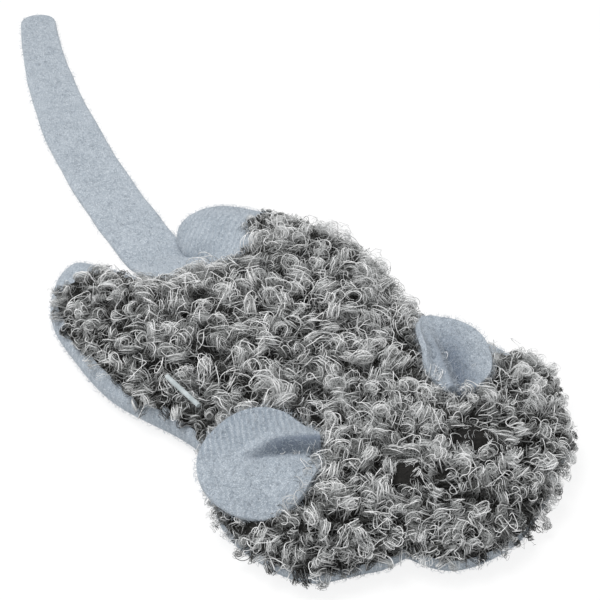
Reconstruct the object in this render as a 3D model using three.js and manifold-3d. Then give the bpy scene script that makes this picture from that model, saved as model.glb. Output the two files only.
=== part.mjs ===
import * as THREE from 'three';
import { mergeVertices } from 'three/addons/utils/BufferGeometryUtils.js';
import Module from 'manifold-3d';

const wasm = await Module();
wasm.setup();

// Millimetres. The snout points along -Y, the mouse's left is +X and +Z is up.
const clearance = 0.3;

// Outline of the sewn body, given at the places where it is widest, narrowest or ends.
const snoutTipY = -60;
const snoutTipReach = 8;
const snoutCornerX = 15.8;
const snoutCornerY = -50.3;
const cheekX = 38.2;
const cheekY = -30;
const waistX = 29.4;
const waistY = -4;
const hipX = 34.8;
const hipY = 24;
const lobeX = 17.2;
const lobeY = 62.8;
const lobeReach = 9;
const sideReach = 11;
const shoulderReach = 13;
const notchY = 44;
const notchCornerReach = 1.8;

// Section of the stuffed form, from its widest line to the back and to the belly.
const beltHeight = 4;
const bellyRun = 5;
const backRise = 7;
const backRun = 18;

// Cloth of the two panels and where they meet.
const fleeceThickness = 1.6;
const backingThickness = 1;
const pileHeight = 4.4;
const pileRun = 6;
const pileTipInset = 0.75;
const seamInset = 2.2;
const seamLean = 0.9;
const innerSpacing = 12;

// Tufts of the pile: tops in rows, moved a little out of line, with dips between them.
const tuftSpacing = 6.2;
const tuftScatter = 1.3;
const tuftRise = 0.6;
const tuftDip = 1.8;

// Filling, with a pocket of dried leaf in it.
const fillShoulder = 0.7;
const pocketLength = 34;
const pocketWidth = 28;
const pocketDepth = 4.2;
const pocketY = 16;

// Thread of every seam.
const threadRadius = 0.35;
const closingGap = 32;

// Ears: round pieces of fleece, pleated to a short root.
const earRadius = 12.2;
const earRootHalf = 5;
const earBeadRadius = 1.6;
const earAxisHeight = 13.2;
const earFoldRun = 6; // the pile is open this far from the hinge, so that an ear can fold up
// How each ear lies: the place of its root, its sweep to the rear and its pitch in degrees, then for
// its front half and its rear half the share of the width that the cupping leaves and the rim's rise.
const rightEarLay = {
  rootX: 17.4,
  rootY: -26,
  sweep: 30,
  pitch: -6,
  frontShare: 1,
  frontRise: -1.5,
  rearShare: 1,
  rearRise: 2.5,
};
const leftEarLay = {
  rootX: 12.8,
  rootY: -29,
  sweep: 62.5,
  pitch: 1.6,
  frontShare: 0.68,
  frontRise: 1.6,
  rearShare: 0.57,
  rearRise: 2.8,
};

// Tail: one strip of fleece, sewn in at the rear notch.
const tailWidth = 14.2;
const tailEndWidth = 9.6;
const tailTaperFrom = 70;
const tailTipX = 42;
const tailTipY = 179.5;
const tailBendX = 9;
const tailBendY = 119;
const tailBeadRadius = 1.3;
const tailAxisHeight = 4.6;
const tailDroopRun = 15;
const tailFloorGap = 0.15;

// Eyes: stitched pads, sunk in the pile.
const eyeRadius = 3.6;
const eyeHeight = 1.8;
const eyeX = 8;
const eyeY = -40;

// Plastic pin: a cross-bar on the pile with a filament through the panel.
const pinBarLength = 10.2;
const pinBarRadius = 0.5;
const pinFilamentRadius = 0.25;
const pinFilamentLength = 9;
const pinX = -27.4;
const pinY = 4.8;
const pinZ = 12.4;

const outlineStep = 6;
const openAbove = 60;

const material = {
  curls: { color: '#7c7f7f', roughness: 0.95, metalness: 0 },
  fleece: { color: '#a9b4bf', roughness: 0.95, metalness: 0 },
  filling: { color: '#eceae4', roughness: 1, metalness: 0 },
  leaf: { color: '#6f7a45', roughness: 0.95, metalness: 0 },
  thread: { color: '#b2bac3', roughness: 0.8, metalness: 0 },
  eye: { color: '#2b2b2b', roughness: 0.85, metalness: 0 },
  pin: { color: '#cfd4d4', roughness: 0.35, metalness: 0 },
};

function toSolid(geometry) {
  const bare = new THREE.BufferGeometry();
  bare.setAttribute('position', geometry.getAttribute('position'));
  bare.setIndex(geometry.index);
  const welded = mergeVertices(bare, 1e-4);
  const corners = [];
  for (let i = 0; i < welded.index.count; i += 3) {
    const [a, b, c] = [0, 1, 2].map((k) => welded.index.getX(i + k));
    if (a !== b && b !== c && c !== a) {
      corners.push(a, b, c);
    }
  }
  return new wasm.Manifold(new wasm.Mesh({
    numProp: 3,
    vertProperties: new Float32Array(welded.getAttribute('position').array),
    triVerts: new Uint32Array(corners),
  }));
}

function facesToSolid(faces) {
  const geometry = new THREE.BufferGeometry();
  const places = faces.flatMap((p) => [p.x, p.y, p.z]);
  geometry.setAttribute('position', new THREE.Float32BufferAttribute(places, 3));
  return toSolid(geometry);
}

function addNode(group, name, solid, look) {
  const mesh = solid.getMesh();
  const positions = [];
  for (let i = 0; i < mesh.vertProperties.length; i += mesh.numProp) {
    positions.push(...mesh.vertProperties.slice(i, i + 3));
  }
  const geometry = new THREE.BufferGeometry();
  geometry.setAttribute('position', new THREE.Float32BufferAttribute(positions, 3));
  geometry.setIndex([...mesh.triVerts]);
  geometry.computeVertexNormals();
  const node = new THREE.Mesh(geometry, new THREE.MeshStandardMaterial(look));
  node.name = name;
  group.add(node);
}

// The outline runs clockwise seen from above, from the middle of the rear notch.
function outlineLoop() {
  const at = (x, y) => new THREE.Vector2(x, y);
  const parts = [];
  const curve = (a, b, c, d) => parts.push(new THREE.CubicBezierCurve(a, b, c, d));
  const notchSide = at(tailWidth / 2, notchY);
  const lobe = at(lobeX, lobeY);
  const hip = at(hipX, hipY);
  const waist = at(waistX, waistY);
  const cheek = at(cheekX, cheekY);
  const corner = at(snoutCornerX, snoutCornerY);
  parts.push(new THREE.LineCurve(at(0, notchY), notchSide));
  curve(notchSide, at(notchSide.x + notchCornerReach, notchY), at(lobeX - lobeReach, lobeY), lobe);
  curve(lobe, at(lobeX + lobeReach, lobeY), at(hipX, (hipY + lobeY) / 2), hip);
  curve(hip, at(hipX, hipY - sideReach), at(waistX, waistY + sideReach), waist);
  curve(waist, at(waistX, waistY - sideReach), at(cheekX, cheekY + sideReach), cheek);
  curve(cheek, at(cheekX, cheekY - shoulderReach), at(corner.x + shoulderReach, corner.y), corner);
  curve(corner, at(corner.x, (corner.y + snoutTipY) / 2), at(snoutTipReach, snoutTipY), at(0, snoutTipY));
  const spaced = (part) => part.getSpacedPoints(Math.ceil(part.getLength() / outlineStep)).slice(0, -1);
  const right = parts.flatMap(spaced);
  const left = right.slice(1).reverse().map((p) => at(-p.x, p.y));
  return [...right, at(0, snoutTipY), ...left];
}

const loop = outlineLoop();
const loopCount = loop.length;

const inward = loop.map((p, i) => {
  const before = loop[(i + loopCount - 1) % loopCount];
  const after = loop[(i + 1) % loopCount];
  return new THREE.Vector2(after.y - before.y, before.x - after.x).normalize();
});

function insetLoop(depth) {
  return loop.map((p, i) => p.clone().addScaledVector(inward[i], depth));
}

function edgeDistance(x, y) {
  let nearest = Infinity;
  loop.forEach((a, i) => {
    const b = loop[(i + 1) % loopCount];
    const along = new THREE.Vector2().subVectors(b, a);
    const t = ((x - a.x) * along.x + (y - a.y) * along.y) / along.lengthSq();
    const k = Math.min(Math.max(t, 0), 1);
    nearest = Math.min(nearest, Math.hypot(a.x + along.x * k - x, a.y + along.y * k - y));
  });
  return nearest;
}

function roll(depth, run) {
  const short = 1 - Math.min(Math.max(depth / run, 0), 1);
  return Math.sqrt(1 - short * short);
}

// Faces of the stuffed form at a distance from the outline, drawn in by a thickness of cloth.
function backFace(depth, cloth) {
  return beltHeight + (backRise - cloth) * roll(depth - cloth, backRun - cloth);
}

function bellyFace(depth, cloth) {
  return beltHeight - (beltHeight - cloth) * roll(depth - cloth, bellyRun - cloth);
}

const degrees = Math.PI / 180;
const smooth = (t) => THREE.MathUtils.smoothstep(t, 0, 1);
const tuftRow = (tuftSpacing * Math.sqrt(3)) / 2;

function tuftTop(column, row) {
  const moveX = tuftScatter * Math.sin(4.7 * column + 2.9 * row);
  const moveY = tuftScatter * Math.cos(3.1 * column + 5.3 * row);
  const shift = row % 2 ? tuftSpacing / 2 : 0;
  return new THREE.Vector2(column * tuftSpacing + shift + moveX, row * tuftRow + moveY);
}

// The tops of all tufts, and the dips in the middle of every three of them.
function tuftField() {
  const tops = [];
  const dips = [];
  const columns = Math.ceil(cheekX / tuftSpacing) + 1;
  const between = (a, b, c) => a.clone().add(b).add(c).divideScalar(3);
  for (let row = Math.floor(snoutTipY / tuftRow); row * tuftRow <= lobeY + tuftRow; row += 1) {
    for (let column = -columns; column <= columns; column += 1) {
      const top = tuftTop(column, row);
      const beside = tuftTop(column + 1, row);
      const facing = row % 2 ? column + 1 : column;
      tops.push(top);
      dips.push(between(top, beside, tuftTop(facing, row + 1)));
      dips.push(between(top, beside, tuftTop(facing, row - 1)));
    }
  }
  return { tops, dips };
}

const tufts = tuftField();

function pileFace(depth, spot) {
  const gap = Math.min(...tufts.tops.map((top) => top.distanceTo(spot)));
  const relief = tuftRise - (tuftRise + tuftDip) * smooth(gap / (tuftRow * 0.67));
  const pile = pileHeight * roll(depth - pileTipInset, pileRun);
  return backFace(depth, 0) + 2 * clearance + pile + relief * smooth((depth - pileTipInset) / bellyRun);
}

// Points in rows, set half a spacing out of line from row to row.
function rowSpots(spacing) {
  const spots = [];
  const step = (spacing * Math.sqrt(3)) / 2;
  for (let row = 0; snoutTipY + row * step < lobeY; row += 1) {
    for (let x = -cheekX + (row % 2) * (spacing / 2); x < cheekX; x += spacing) {
      spots.push(new THREE.Vector2(x, snoutTipY + row * step));
    }
  }
  return { spots, margin: spacing / 2 };
}

const noSpots = { spots: [], margin: 0 };

// Triangles inside the outline drawn in by a depth, with points spread between its corners.
function evenMesh(depth, { spots, margin }) {
  const points = insetLoop(depth).reverse();
  const triangles = THREE.ShapeUtils.triangulateShape(points, []);
  const turn = (a, b, c) => (b.x - a.x) * (c.y - a.y) - (b.y - a.y) * (c.x - a.x);
  const leftOf = (p, i, j) => turn(points[i], points[j], p) > 1e-6;
  const holds = (p) => ([a, b, c]) => leftOf(p, a, b) && leftOf(p, b, c) && leftOf(p, c, a);
  const addPoint = (p) => {
    const found = triangles.findIndex(holds(p));
    if (found >= 0 && edgeDistance(p.x, p.y) > depth + margin) {
      const [a, b, c] = triangles[found];
      const added = points.push(p) - 1;
      triangles.splice(found, 1, [a, b, added], [b, c, added], [c, a, added]);
    }
  };
  spots.forEach(addPoint);
  const angle = (p, a, b) => {
    const facing = (a.x - p.x) * (b.x - p.x) + (a.y - p.y) * (b.y - p.y);
    return Math.abs(Math.atan2(turn(p, a, b), facing));
  };
  let swapped = true;
  while (swapped) {
    swapped = false;
    const owner = new Map();
    triangles.forEach(([a, b, c], k) => {
      owner.set(`${a} ${b}`, [k, a, b, c]);
      owner.set(`${b} ${c}`, [k, b, c, a]);
      owner.set(`${c} ${a}`, [k, c, a, b]);
    });
    const done = new Set();
    owner.forEach(([k, a, b, c]) => {
      const [m, , , d] = owner.get(`${b} ${a}`) ?? [];
      if (m === undefined || done.has(k) || done.has(m)) {
        return;
      }
      const wide = angle(points[c], points[a], points[b]) + angle(points[d], points[a], points[b]);
      if (wide > Math.PI + 1e-6) {
        triangles[k] = [a, d, c];
        triangles[m] = [d, b, c];
        done.add(k).add(m);
        swapped = true;
      }
    });
  }
  return triangles.map((t) => t.map((i) => points[i]));
}

// A body built of rings that follow the outline, closed by a lower and an upper face.
function ringBody(rings, lowerSpots, upperSpots) {
  const faces = [];
  const lifted = (p, height) => new THREE.Vector3(p.x, p.y, height(edgeDistance(p.x, p.y), p));
  const loops = rings.map(([depth, height]) => insetLoop(depth).map((p) => lifted(p, height)));
  for (let r = 0; r + 1 < loops.length; r += 1) {
    for (let i = 0; i < loopCount; i += 1) {
      const j = (i + 1) % loopCount;
      const [a, b] = [loops[r], loops[r + 1]];
      faces.push(a[i], b[i], b[j], a[i], b[j], a[j]);
    }
  }
  const cap = ([depth, height], spots, order) => {
    evenMesh(depth, spots).forEach((triangle) => {
      order.forEach((k) => faces.push(lifted(triangle[k], height)));
    });
  };
  cap(rings[0], lowerSpots, [0, 2, 1]);
  cap(rings[rings.length - 1], upperSpots, [0, 1, 2]);
  return facesToSolid(faces);
}

function tube(points, radius, steps) {
  const sides = 5;
  const corners = [];
  for (let i = 0; i < sides; i += 1) {
    const turn = (2 * Math.PI * i) / sides;
    corners.push(new THREE.Vector2(radius * Math.cos(turn), radius * Math.sin(turn)));
  }
  const path = new THREE.CatmullRomCurve3(points, false, 'centripetal');
  const shape = new THREE.Shape(corners);
  return toSolid(new THREE.ExtrudeGeometry(shape, { steps, bevelEnabled: false, extrudePath: path }));
}

// A stitch with two legs and a rounded corner at the top of each.
function staple(footA, cornerA, cornerB, footB, radius, steps) {
  const bend = 2 * radius;
  const toward = (from, to) => from.clone().addScaledVector(to.clone().sub(from).normalize(), bend);
  const path = new THREE.CurvePath();
  path.add(new THREE.LineCurve3(footA, toward(cornerA, footA)));
  path.add(new THREE.QuadraticBezierCurve3(toward(cornerA, footA), cornerA, toward(cornerA, cornerB)));
  path.add(new THREE.LineCurve3(toward(cornerA, cornerB), toward(cornerB, cornerA)));
  path.add(new THREE.QuadraticBezierCurve3(toward(cornerB, cornerA), cornerB, toward(cornerB, footB)));
  path.add(new THREE.LineCurve3(toward(cornerB, footB), footB));
  return tube(path.getSpacedPoints(steps), radius, steps);
}

function rod(from, to, radius, sides) {
  const along = new THREE.Vector3().subVectors(to, from);
  const geometry = new THREE.CylinderGeometry(radius, radius, along.length(), sides);
  const upright = new THREE.Vector3(0, 1, 0);
  geometry.applyQuaternion(new THREE.Quaternion().setFromUnitVectors(upright, along.clone().normalize()));
  const middle = from.clone().addScaledVector(along, 0.5);
  geometry.translate(middle.x, middle.y, middle.z);
  return toSolid(geometry);
}

// A slab over a grid of points, between a lower and an upper face.
function slab(columns, rows, lower, upper) {
  const faces = [];
  const quad = (a, b, c, d) => faces.push(a, b, c, a, c, d);
  for (let i = 0; i < columns; i += 1) {
    for (let j = 0; j < rows; j += 1) {
      quad(upper(i, j), upper(i + 1, j), upper(i + 1, j + 1), upper(i, j + 1));
      quad(lower(i, j), lower(i, j + 1), lower(i + 1, j + 1), lower(i + 1, j));
    }
    quad(lower(i, 0), lower(i + 1, 0), upper(i + 1, 0), upper(i, 0));
    quad(upper(i, rows), upper(i + 1, rows), lower(i + 1, rows), lower(i, rows));
  }
  for (let j = 0; j < rows; j += 1) {
    quad(upper(0, j), upper(0, j + 1), lower(0, j + 1), lower(0, j));
    quad(lower(columns, j), lower(columns, j + 1), upper(columns, j + 1), upper(columns, j));
  }
  return facesToSolid(faces);
}

// One ear with its stitching and the room that both need in the pile.
function makeEar(side, lay) {
  const sweep = lay.sweep * degrees;
  const reach = new THREE.Vector3(side * Math.cos(sweep), Math.sin(sweep), 0);
  const up = new THREE.Vector3(0, 0, 1);
  const hinge = new THREE.Vector3().crossVectors(reach, up);
  const root = new THREE.Vector3(side * lay.rootX, lay.rootY, earAxisHeight);
  const place = (x, y, z) => {
    const spot = root.clone().addScaledVector(hinge, x);
    return spot.addScaledVector(reach, y).addScaledVector(up, z);
  };
  const columns = 8;
  const rows = 9;
  const centre = Math.sqrt(earRadius * earRadius - earRootHalf * earRootHalf);
  const grid = (grow, height) => (i, j) => {
    const radius = earRadius + grow;
    const first = Math.asin(earRootHalf / radius);
    const turn = first + ((Math.PI - first) * j) / rows;
    const y = centre - radius * Math.cos(turn);
    const across = radius * Math.sin(turn) * ((2 * i) / columns - 1);
    const [share, rise] =
      side * across < 0 ? [lay.rearShare, lay.rearRise] : [lay.frontShare, lay.frontRise];
    const lift = smooth(y / earRadius);
    const x = across * (1 + (share - 1) * lift);
    const cup = rise * lift * (across / earRadius) ** 2;
    return place(x, y, height(Math.tan(lay.pitch * degrees) * y + cup));
  };
  const half = fleeceThickness / 2;
  const flap = slab(columns, rows, grid(0, (z) => z - half), grid(0, (z) => z + half));
  const bead = rod(place(-earRootHalf, 0, 0), place(earRootHalf, 0, 0), earBeadRadius, 14);
  const end = earRootHalf + clearance + threadRadius;
  const bore = rod(place(-end, 0, 0), place(end, 0, 0), threadRadius + clearance, 8);
  const foot = beltHeight + backRise - backingThickness - earAxisHeight;
  const corners = [place(-end, 0, foot), place(-end, 0, 0), place(end, 0, 0), place(end, 0, foot)];
  const slotHalf = earBeadRadius + clearance;
  const slotEnd = end + threadRadius + clearance;
  const trough = rod(place(-slotEnd, 0, 0), place(slotEnd, 0, 0), slotHalf, 14);
  const chord = (y) => Math.sqrt(Math.max(earRadius ** 2 - (centre - y) ** 2, 0)) + 2 * clearance;
  const slotCorner = (z) => (i, j) => {
    const width = chord(j ? earFoldRun : earFoldRun / 2);
    return place((2 * i - 1) * width, j ? earFoldRun : -slotHalf, z);
  };
  const slot = slab(1, 1, slotCorner(0), slotCorner(openAbove));
  const bedFloor = grid(2 * clearance, (z) => z - half - clearance);
  const bed = slab(columns, rows, bedFloor, grid(2 * clearance, () => openAbove));
  const needleRadius = threadRadius + clearance;
  const needle = (x) => rod(place(x, 0, foot - 1), place(x, 0, needleRadius), needleRadius, 8);
  const needles = needle(-end).add(needle(end));
  return {
    ear: flap.add(bead).subtract(bore).subtract(needles),
    stitching: staple(...corners, threadRadius, 32),
    room: trough.add(slot).add(bed).add(needles),
  };
}

// The tail lies on the floor behind a short slope down from its hinge line.
function makeTail() {
  const hingeY = notchY + tailBeadRadius + clearance;
  const path = new THREE.QuadraticBezierCurve(
    new THREE.Vector2(0, hingeY),
    new THREE.Vector2(tailBendX, tailBendY),
    new THREE.Vector2(tailTipX, tailTipY),
  );
  const length = path.getLength();
  const half = fleeceThickness / 2;
  const flatHeight = half + tailFloorGap;
  const height = (s) => tailAxisHeight + (flatHeight - tailAxisHeight) * smooth(s / tailDroopRun);
  const halfWidth = (s) => {
    const taper = Math.max(0, s - tailTaperFrom) / (length - tailTaperFrom);
    const wide = (tailWidth + (tailEndWidth - tailWidth) * taper) / 2;
    return wide * roll(length - s, tailEndWidth / 2);
  };
  const rows = 34;
  const stations = [];
  for (let j = 0; j <= rows; j += 1) {
    const s = length * Math.sin((Math.PI / 2) * (j / rows));
    stations.push(s);
  }
  const face = (offset, edge) => (i, j) => {
    const s = stations[j];
    const spot = path.getPointAt(s / length);
    const ahead = path.getTangentAt(s / length);
    const across = (2 * i) / 4 - 1;
    const x = halfWidth(s) * across;
    const thin = Math.abs(across) === 1 ? edge : 1;
    return new THREE.Vector3(spot.x + ahead.y * x, spot.y - ahead.x * x, height(s) + offset * thin);
  };
  const strip = slab(4, rows, face(-half, 0.6), face(half, 0.6));
  const at = (x, y) => new THREE.Vector3(x, y, tailAxisHeight);
  const rootHalf = tailWidth / 2;
  const bead = rod(at(-rootHalf, hingeY), at(rootHalf, hingeY), tailBeadRadius, 14);
  const end = rootHalf + clearance + threadRadius;
  const bore = rod(at(-end, hingeY), at(end, hingeY), threadRadius + clearance, 8);
  const inner = notchY - seamInset;
  const corners = [at(-end, inner), at(-end, hingeY), at(end, hingeY), at(end, inner)];
  const needle = (x) => rod(at(x, inner - clearance), at(x, hingeY), threadRadius + clearance, 8);
  return {
    tail: strip.add(bead).subtract(bore),
    stitching: staple(...corners, threadRadius, 40),
    room: needle(-end).add(needle(end)),
  };
}

function makeEye(side) {
  const floor = backFace(edgeDistance(eyeX, eyeY), 0) + clearance;
  const points = [new THREE.Vector2(0, 0), new THREE.Vector2(eyeRadius, 0)];
  const steps = 5;
  for (let i = 0; i <= steps; i += 1) {
    const turn = (Math.PI / 2) * (i / steps);
    points.push(new THREE.Vector2(eyeRadius * Math.cos(turn), eyeHeight * (0.3 + 0.7 * Math.sin(turn))));
  }
  points[points.length - 1].x = 0;
  const dome = new THREE.LatheGeometry(points, 20);
  dome.rotateX(Math.PI / 2);
  dome.translate(side * eyeX, eyeY, floor + clearance);
  const middle = (z) => new THREE.Vector3(side * eyeX, eyeY, z);
  return {
    pad: toSolid(dome),
    room: rod(middle(floor), middle(openAbove), eyeRadius + clearance, 20),
  };
}

function makePin() {
  const middle = new THREE.Vector3(pinX, pinY, pinZ);
  const along = new THREE.Vector3(0.05, -0.99, -0.1).normalize();
  const down = new THREE.Vector3(0.75, 0, -0.66).normalize();
  const bar = (reach, radius) => rod(
    middle.clone().addScaledVector(along, -reach),
    middle.clone().addScaledVector(along, reach),
    radius,
    10,
  );
  const filament = (reach, radius) => rod(middle, middle.clone().addScaledVector(down, reach), radius, 8);
  const half = pinBarLength / 2;
  const wide = pinFilamentRadius + clearance;
  return {
    pin: bar(half, pinBarRadius).add(filament(pinFilamentLength, pinFilamentRadius)),
    room: bar(half + clearance, pinBarRadius + clearance).add(filament(pinFilamentLength + clearance, wide)),
  };
}

function makeBase() {
  const cloth = fleeceThickness;
  const outerBelly = (d) => bellyFace(d, 0);
  const outerBack = (d) => backFace(d, 0);
  const innerBelly = (d) => bellyFace(d, cloth);
  const innerBack = (d) => backFace(d, cloth);
  return ringBody([
    [bellyRun, outerBelly],
    [bellyRun / 2, outerBelly],
    [bellyRun / 8, outerBelly],
    [0, outerBelly],
    [seamInset / 5, outerBack],
    [seamInset, outerBack],
    [seamInset + seamLean, innerBack],
    [cloth + seamInset / 5, innerBack],
    [cloth, innerBelly],
    [cloth + bellyRun / 6, innerBelly],
    [bellyRun, innerBelly],
  ], noSpots, noSpots);
}

function makeTop() {
  const innerFace = (d) => backFace(d, backingThickness);
  const hemFace = (d) => backFace(d, 0);
  const overhang = (d) => backFace(d, 0) + 2 * clearance;
  const seamGap = 1.2 * clearance;
  return ringBody([
    [bellyRun, innerFace],
    [seamInset + seamLean, innerFace],
    [seamInset + seamGap, hemFace],
    [(seamInset + pileTipInset) / 2, overhang],
    [pileTipInset, pileFace],
    [(seamInset + pileTipInset) / 2, pileFace],
    [(seamInset + bellyRun) / 2, pileFace],
    [bellyRun, pileFace],
  ], rowSpots(innerSpacing), { spots: [...tufts.tops, ...tufts.dips], margin: tuftSpacing / 4 });
}

function makeFilling() {
  const underside = (d) => bellyFace(d, fleeceThickness + clearance);
  const topside = (d) => backFace(d, backingThickness + clearance);
  const rim = bellyRun - fillShoulder;
  return ringBody([[rim, underside], [rim, topside], [bellyRun, topside]], noSpots, rowSpots(innerSpacing));
}

function makeLeaf(shrink) {
  const ball = new THREE.SphereGeometry(1, 20, 12);
  ball.scale(pocketWidth / 2 - shrink, pocketLength / 2 - shrink, pocketDepth - shrink);
  ball.translate(0, pocketY, beltHeight + backRise - backingThickness - clearance);
  return toSolid(ball);
}

// The rim seam runs inside the fold between the panels, open where the hand-sewn closing is.
function makeSeams() {
  const depth = seamInset + seamLean + clearance + threadRadius / 3;
  const height = backFace(seamInset, 0) - fleeceThickness - threadRadius + clearance / 3;
  const ring = insetLoop(depth).map((p) => new THREE.Vector3(p.x, p.y, height));
  const inGap = (p) => p.x > 0 && Math.abs(p.y - hipY) < closingGap / 2;
  const first = ring.findIndex(inGap);
  const closing = ring.filter(inGap);
  const rest = ring.slice(first + closing.length).concat(ring.slice(0, first));
  const whip = closing.map((p, i) => p.clone().setZ(height + (i % 2 ? 1 : -1) * threadRadius));
  return {
    rim: tube(rest, threadRadius, rest.length * 2),
    closing: tube(whip, threadRadius, whip.length * 4),
  };
}

const mouse = new THREE.Group();
mouse.name = 'catnip_mouse';

const rightEar = makeEar(-1, rightEarLay);
const leftEar = makeEar(1, leftEarLay);
const tail = makeTail();
const rightEye = makeEye(-1);
const leftEye = makeEye(1);
const pin = makePin();
const seams = makeSeams();
const filling = makeFilling();
const sunk = [rightEar, leftEar, rightEye, leftEye, pin];
const top = sunk.reduce((panel, piece) => panel.subtract(piece.room), makeTop());

addNode(mouse, 'fleece_base_panel', makeBase().subtract(tail.room), material.fleece);
addNode(mouse, 'curly_top_panel', top, material.curls);
addNode(mouse, 'fibre_filling', filling.subtract(makeLeaf(0)).subtract(pin.room), material.filling);
addNode(mouse, 'catnip_fill', filling.intersect(makeLeaf(clearance)), material.leaf);
addNode(mouse, 'rim_seam_thread', seams.rim, material.thread);
addNode(mouse, 'closing_stitch', seams.closing, material.thread);
addNode(mouse, 'right_ear', rightEar.ear, material.fleece);
addNode(mouse, 'left_ear', leftEar.ear, material.fleece);
addNode(mouse, 'right_ear_stitching', rightEar.stitching, material.thread);
addNode(mouse, 'left_ear_stitching', leftEar.stitching, material.thread);
addNode(mouse, 'tail', tail.tail, material.fleece);
addNode(mouse, 'tail_stitching', tail.stitching, material.thread);
addNode(mouse, 'right_eye', rightEye.pad, material.eye);
addNode(mouse, 'left_eye', leftEye.pad, material.eye);
addNode(mouse, 'tag_pin', pin.pin, material.pin);

export default mouse;
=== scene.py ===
import math
from functools import partial

import bpy
import numpy as np
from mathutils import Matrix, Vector, noise
from mathutils.bvhtree import BVHTree
from mathutils.geometry import delaunay_2d_cdt


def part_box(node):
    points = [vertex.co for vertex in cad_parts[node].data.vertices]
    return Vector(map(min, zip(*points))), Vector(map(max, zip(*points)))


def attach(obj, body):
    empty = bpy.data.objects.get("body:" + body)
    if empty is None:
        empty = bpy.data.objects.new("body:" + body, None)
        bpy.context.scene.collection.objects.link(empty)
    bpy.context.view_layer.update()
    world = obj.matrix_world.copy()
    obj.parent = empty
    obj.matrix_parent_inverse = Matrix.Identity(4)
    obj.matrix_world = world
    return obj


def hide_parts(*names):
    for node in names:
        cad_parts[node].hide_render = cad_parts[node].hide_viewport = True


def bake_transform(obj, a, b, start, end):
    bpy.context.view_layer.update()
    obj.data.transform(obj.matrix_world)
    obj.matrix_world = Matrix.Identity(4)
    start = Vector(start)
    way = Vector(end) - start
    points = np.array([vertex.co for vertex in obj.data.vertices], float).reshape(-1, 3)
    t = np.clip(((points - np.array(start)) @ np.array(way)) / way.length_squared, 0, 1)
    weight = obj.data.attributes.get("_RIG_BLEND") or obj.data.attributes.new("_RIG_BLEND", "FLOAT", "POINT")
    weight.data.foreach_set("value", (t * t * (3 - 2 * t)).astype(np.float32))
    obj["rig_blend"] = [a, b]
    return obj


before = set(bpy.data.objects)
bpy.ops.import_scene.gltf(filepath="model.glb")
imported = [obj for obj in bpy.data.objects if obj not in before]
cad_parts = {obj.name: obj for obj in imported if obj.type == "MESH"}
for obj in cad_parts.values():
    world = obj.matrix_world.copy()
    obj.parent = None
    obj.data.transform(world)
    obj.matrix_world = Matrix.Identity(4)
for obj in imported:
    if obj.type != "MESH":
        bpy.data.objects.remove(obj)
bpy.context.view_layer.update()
scene = bpy.context.scene
scene.view_settings.view_transform = "Standard"
mm = 0.001
fullTurn = 6.2832


def addMesh(name, points, faces, scale=mm):
    mesh = bpy.data.meshes.new(name)
    mesh.from_pydata([tuple(float(c) * scale for c in p) for p in points], [], faces)
    mesh.shade_smooth()
    piece = bpy.data.objects.new(name, mesh)
    scene.collection.objects.link(piece)
    return piece


# the evaluated mesh takes the place of the piece's own, and its modifiers go
def settle(piece):
    graph = bpy.context.evaluated_depsgraph_get()
    mesh = bpy.data.meshes.new_from_object(
        piece.evaluated_get(graph), preserve_all_data_layers=True, depsgraph=graph)
    piece.modifiers.clear()
    old = piece.data
    piece.data = mesh
    bpy.data.meshes.remove(old)
    mesh.name = piece.name
    return piece


# a flat sheet gets its thickness and rounded edges
def thicken(piece, thickness):
    solid = piece.modifiers.new("thickness", "SOLIDIFY")
    solid.thickness, solid.offset = thickness * mm, 0
    softEdge = piece.modifiers.new("softEdge", "SUBSURF")
    softEdge.levels = softEdge.render_levels = 1
    return settle(piece)


def gridFaces(rows, columns):
    wide = columns + 1
    starts = [j * wide + i for j in range(rows) for i in range(columns)]
    return [(k, k + 1, k + wide + 1, k + wide) for k in starts]


def pointsOf(piece):
    flat = np.empty(len(piece.data.vertices) * 3)
    piece.data.vertices.foreach_get("co", flat)
    return flat.reshape(-1, 3) / mm


def addValues(piece, label, values):
    kind = "FLOAT" if values.ndim == 1 else "FLOAT_VECTOR"
    made = piece.data.attributes.new(label, kind, "POINT")
    made.data.foreach_set("value" if values.ndim == 1 else "vector", values.astype(np.float32).ravel())


# one node with its settings, and its inputs as values or as links
def addNode(tree, kind, inputs=None, **settings):
    made = tree.nodes.new(kind)
    for key, value in settings.items():
        setattr(made, key, value)
    for key, value in (inputs or {}).items():
        if isinstance(value, bpy.types.NodeSocket):
            tree.links.new(value, made.inputs[key])
        else:
            made.inputs[key].default_value = value
    return made


def shaderNode(tree, kind, inputs=None, **settings):
    return addNode(tree, "ShaderNode" + kind, inputs, **settings).outputs


def geo(tree, kind, inputs=None, **settings):
    return addNode(tree, "GeometryNode" + kind, inputs, **settings).outputs


def maths(tree, how, *values):
    return shaderNode(tree, "Math", dict(enumerate(values)), operation=how)[0]


def vectors(tree, how, first, second=None):
    key = "Scale" if how == "SCALE" else 1
    inputs = {0: first} if second is None else {0: first, key: second}
    made = shaderNode(tree, "VectorMath", inputs, operation=how)
    return made["Value" if how == "DOT_PRODUCT" else "Vector"]


# steps of one tree, to be called by short names
def sums(tree, *steps):
    return [partial(maths, tree, how) for how in steps]


def vectorSums(tree, *steps):
    return [partial(vectors, tree, how) for how in steps]


def triple(tree, x, y, z):
    return shaderNode(tree, "CombineXYZ", {0: x, 1: y, 2: z})[0]


def split(tree, value):
    return shaderNode(tree, "SeparateXYZ", {0: value})


# screen levels from 0 to 255 as a linear colour
def tone(*levels):
    part = [c / 255 for c in levels]
    return [c / 12.92 if c <= 0.04045 else ((c + 0.055) / 1.055) ** 2.4 for c in part] + [1]


def grey(level):
    return [level] * 3 + [1]


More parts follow.
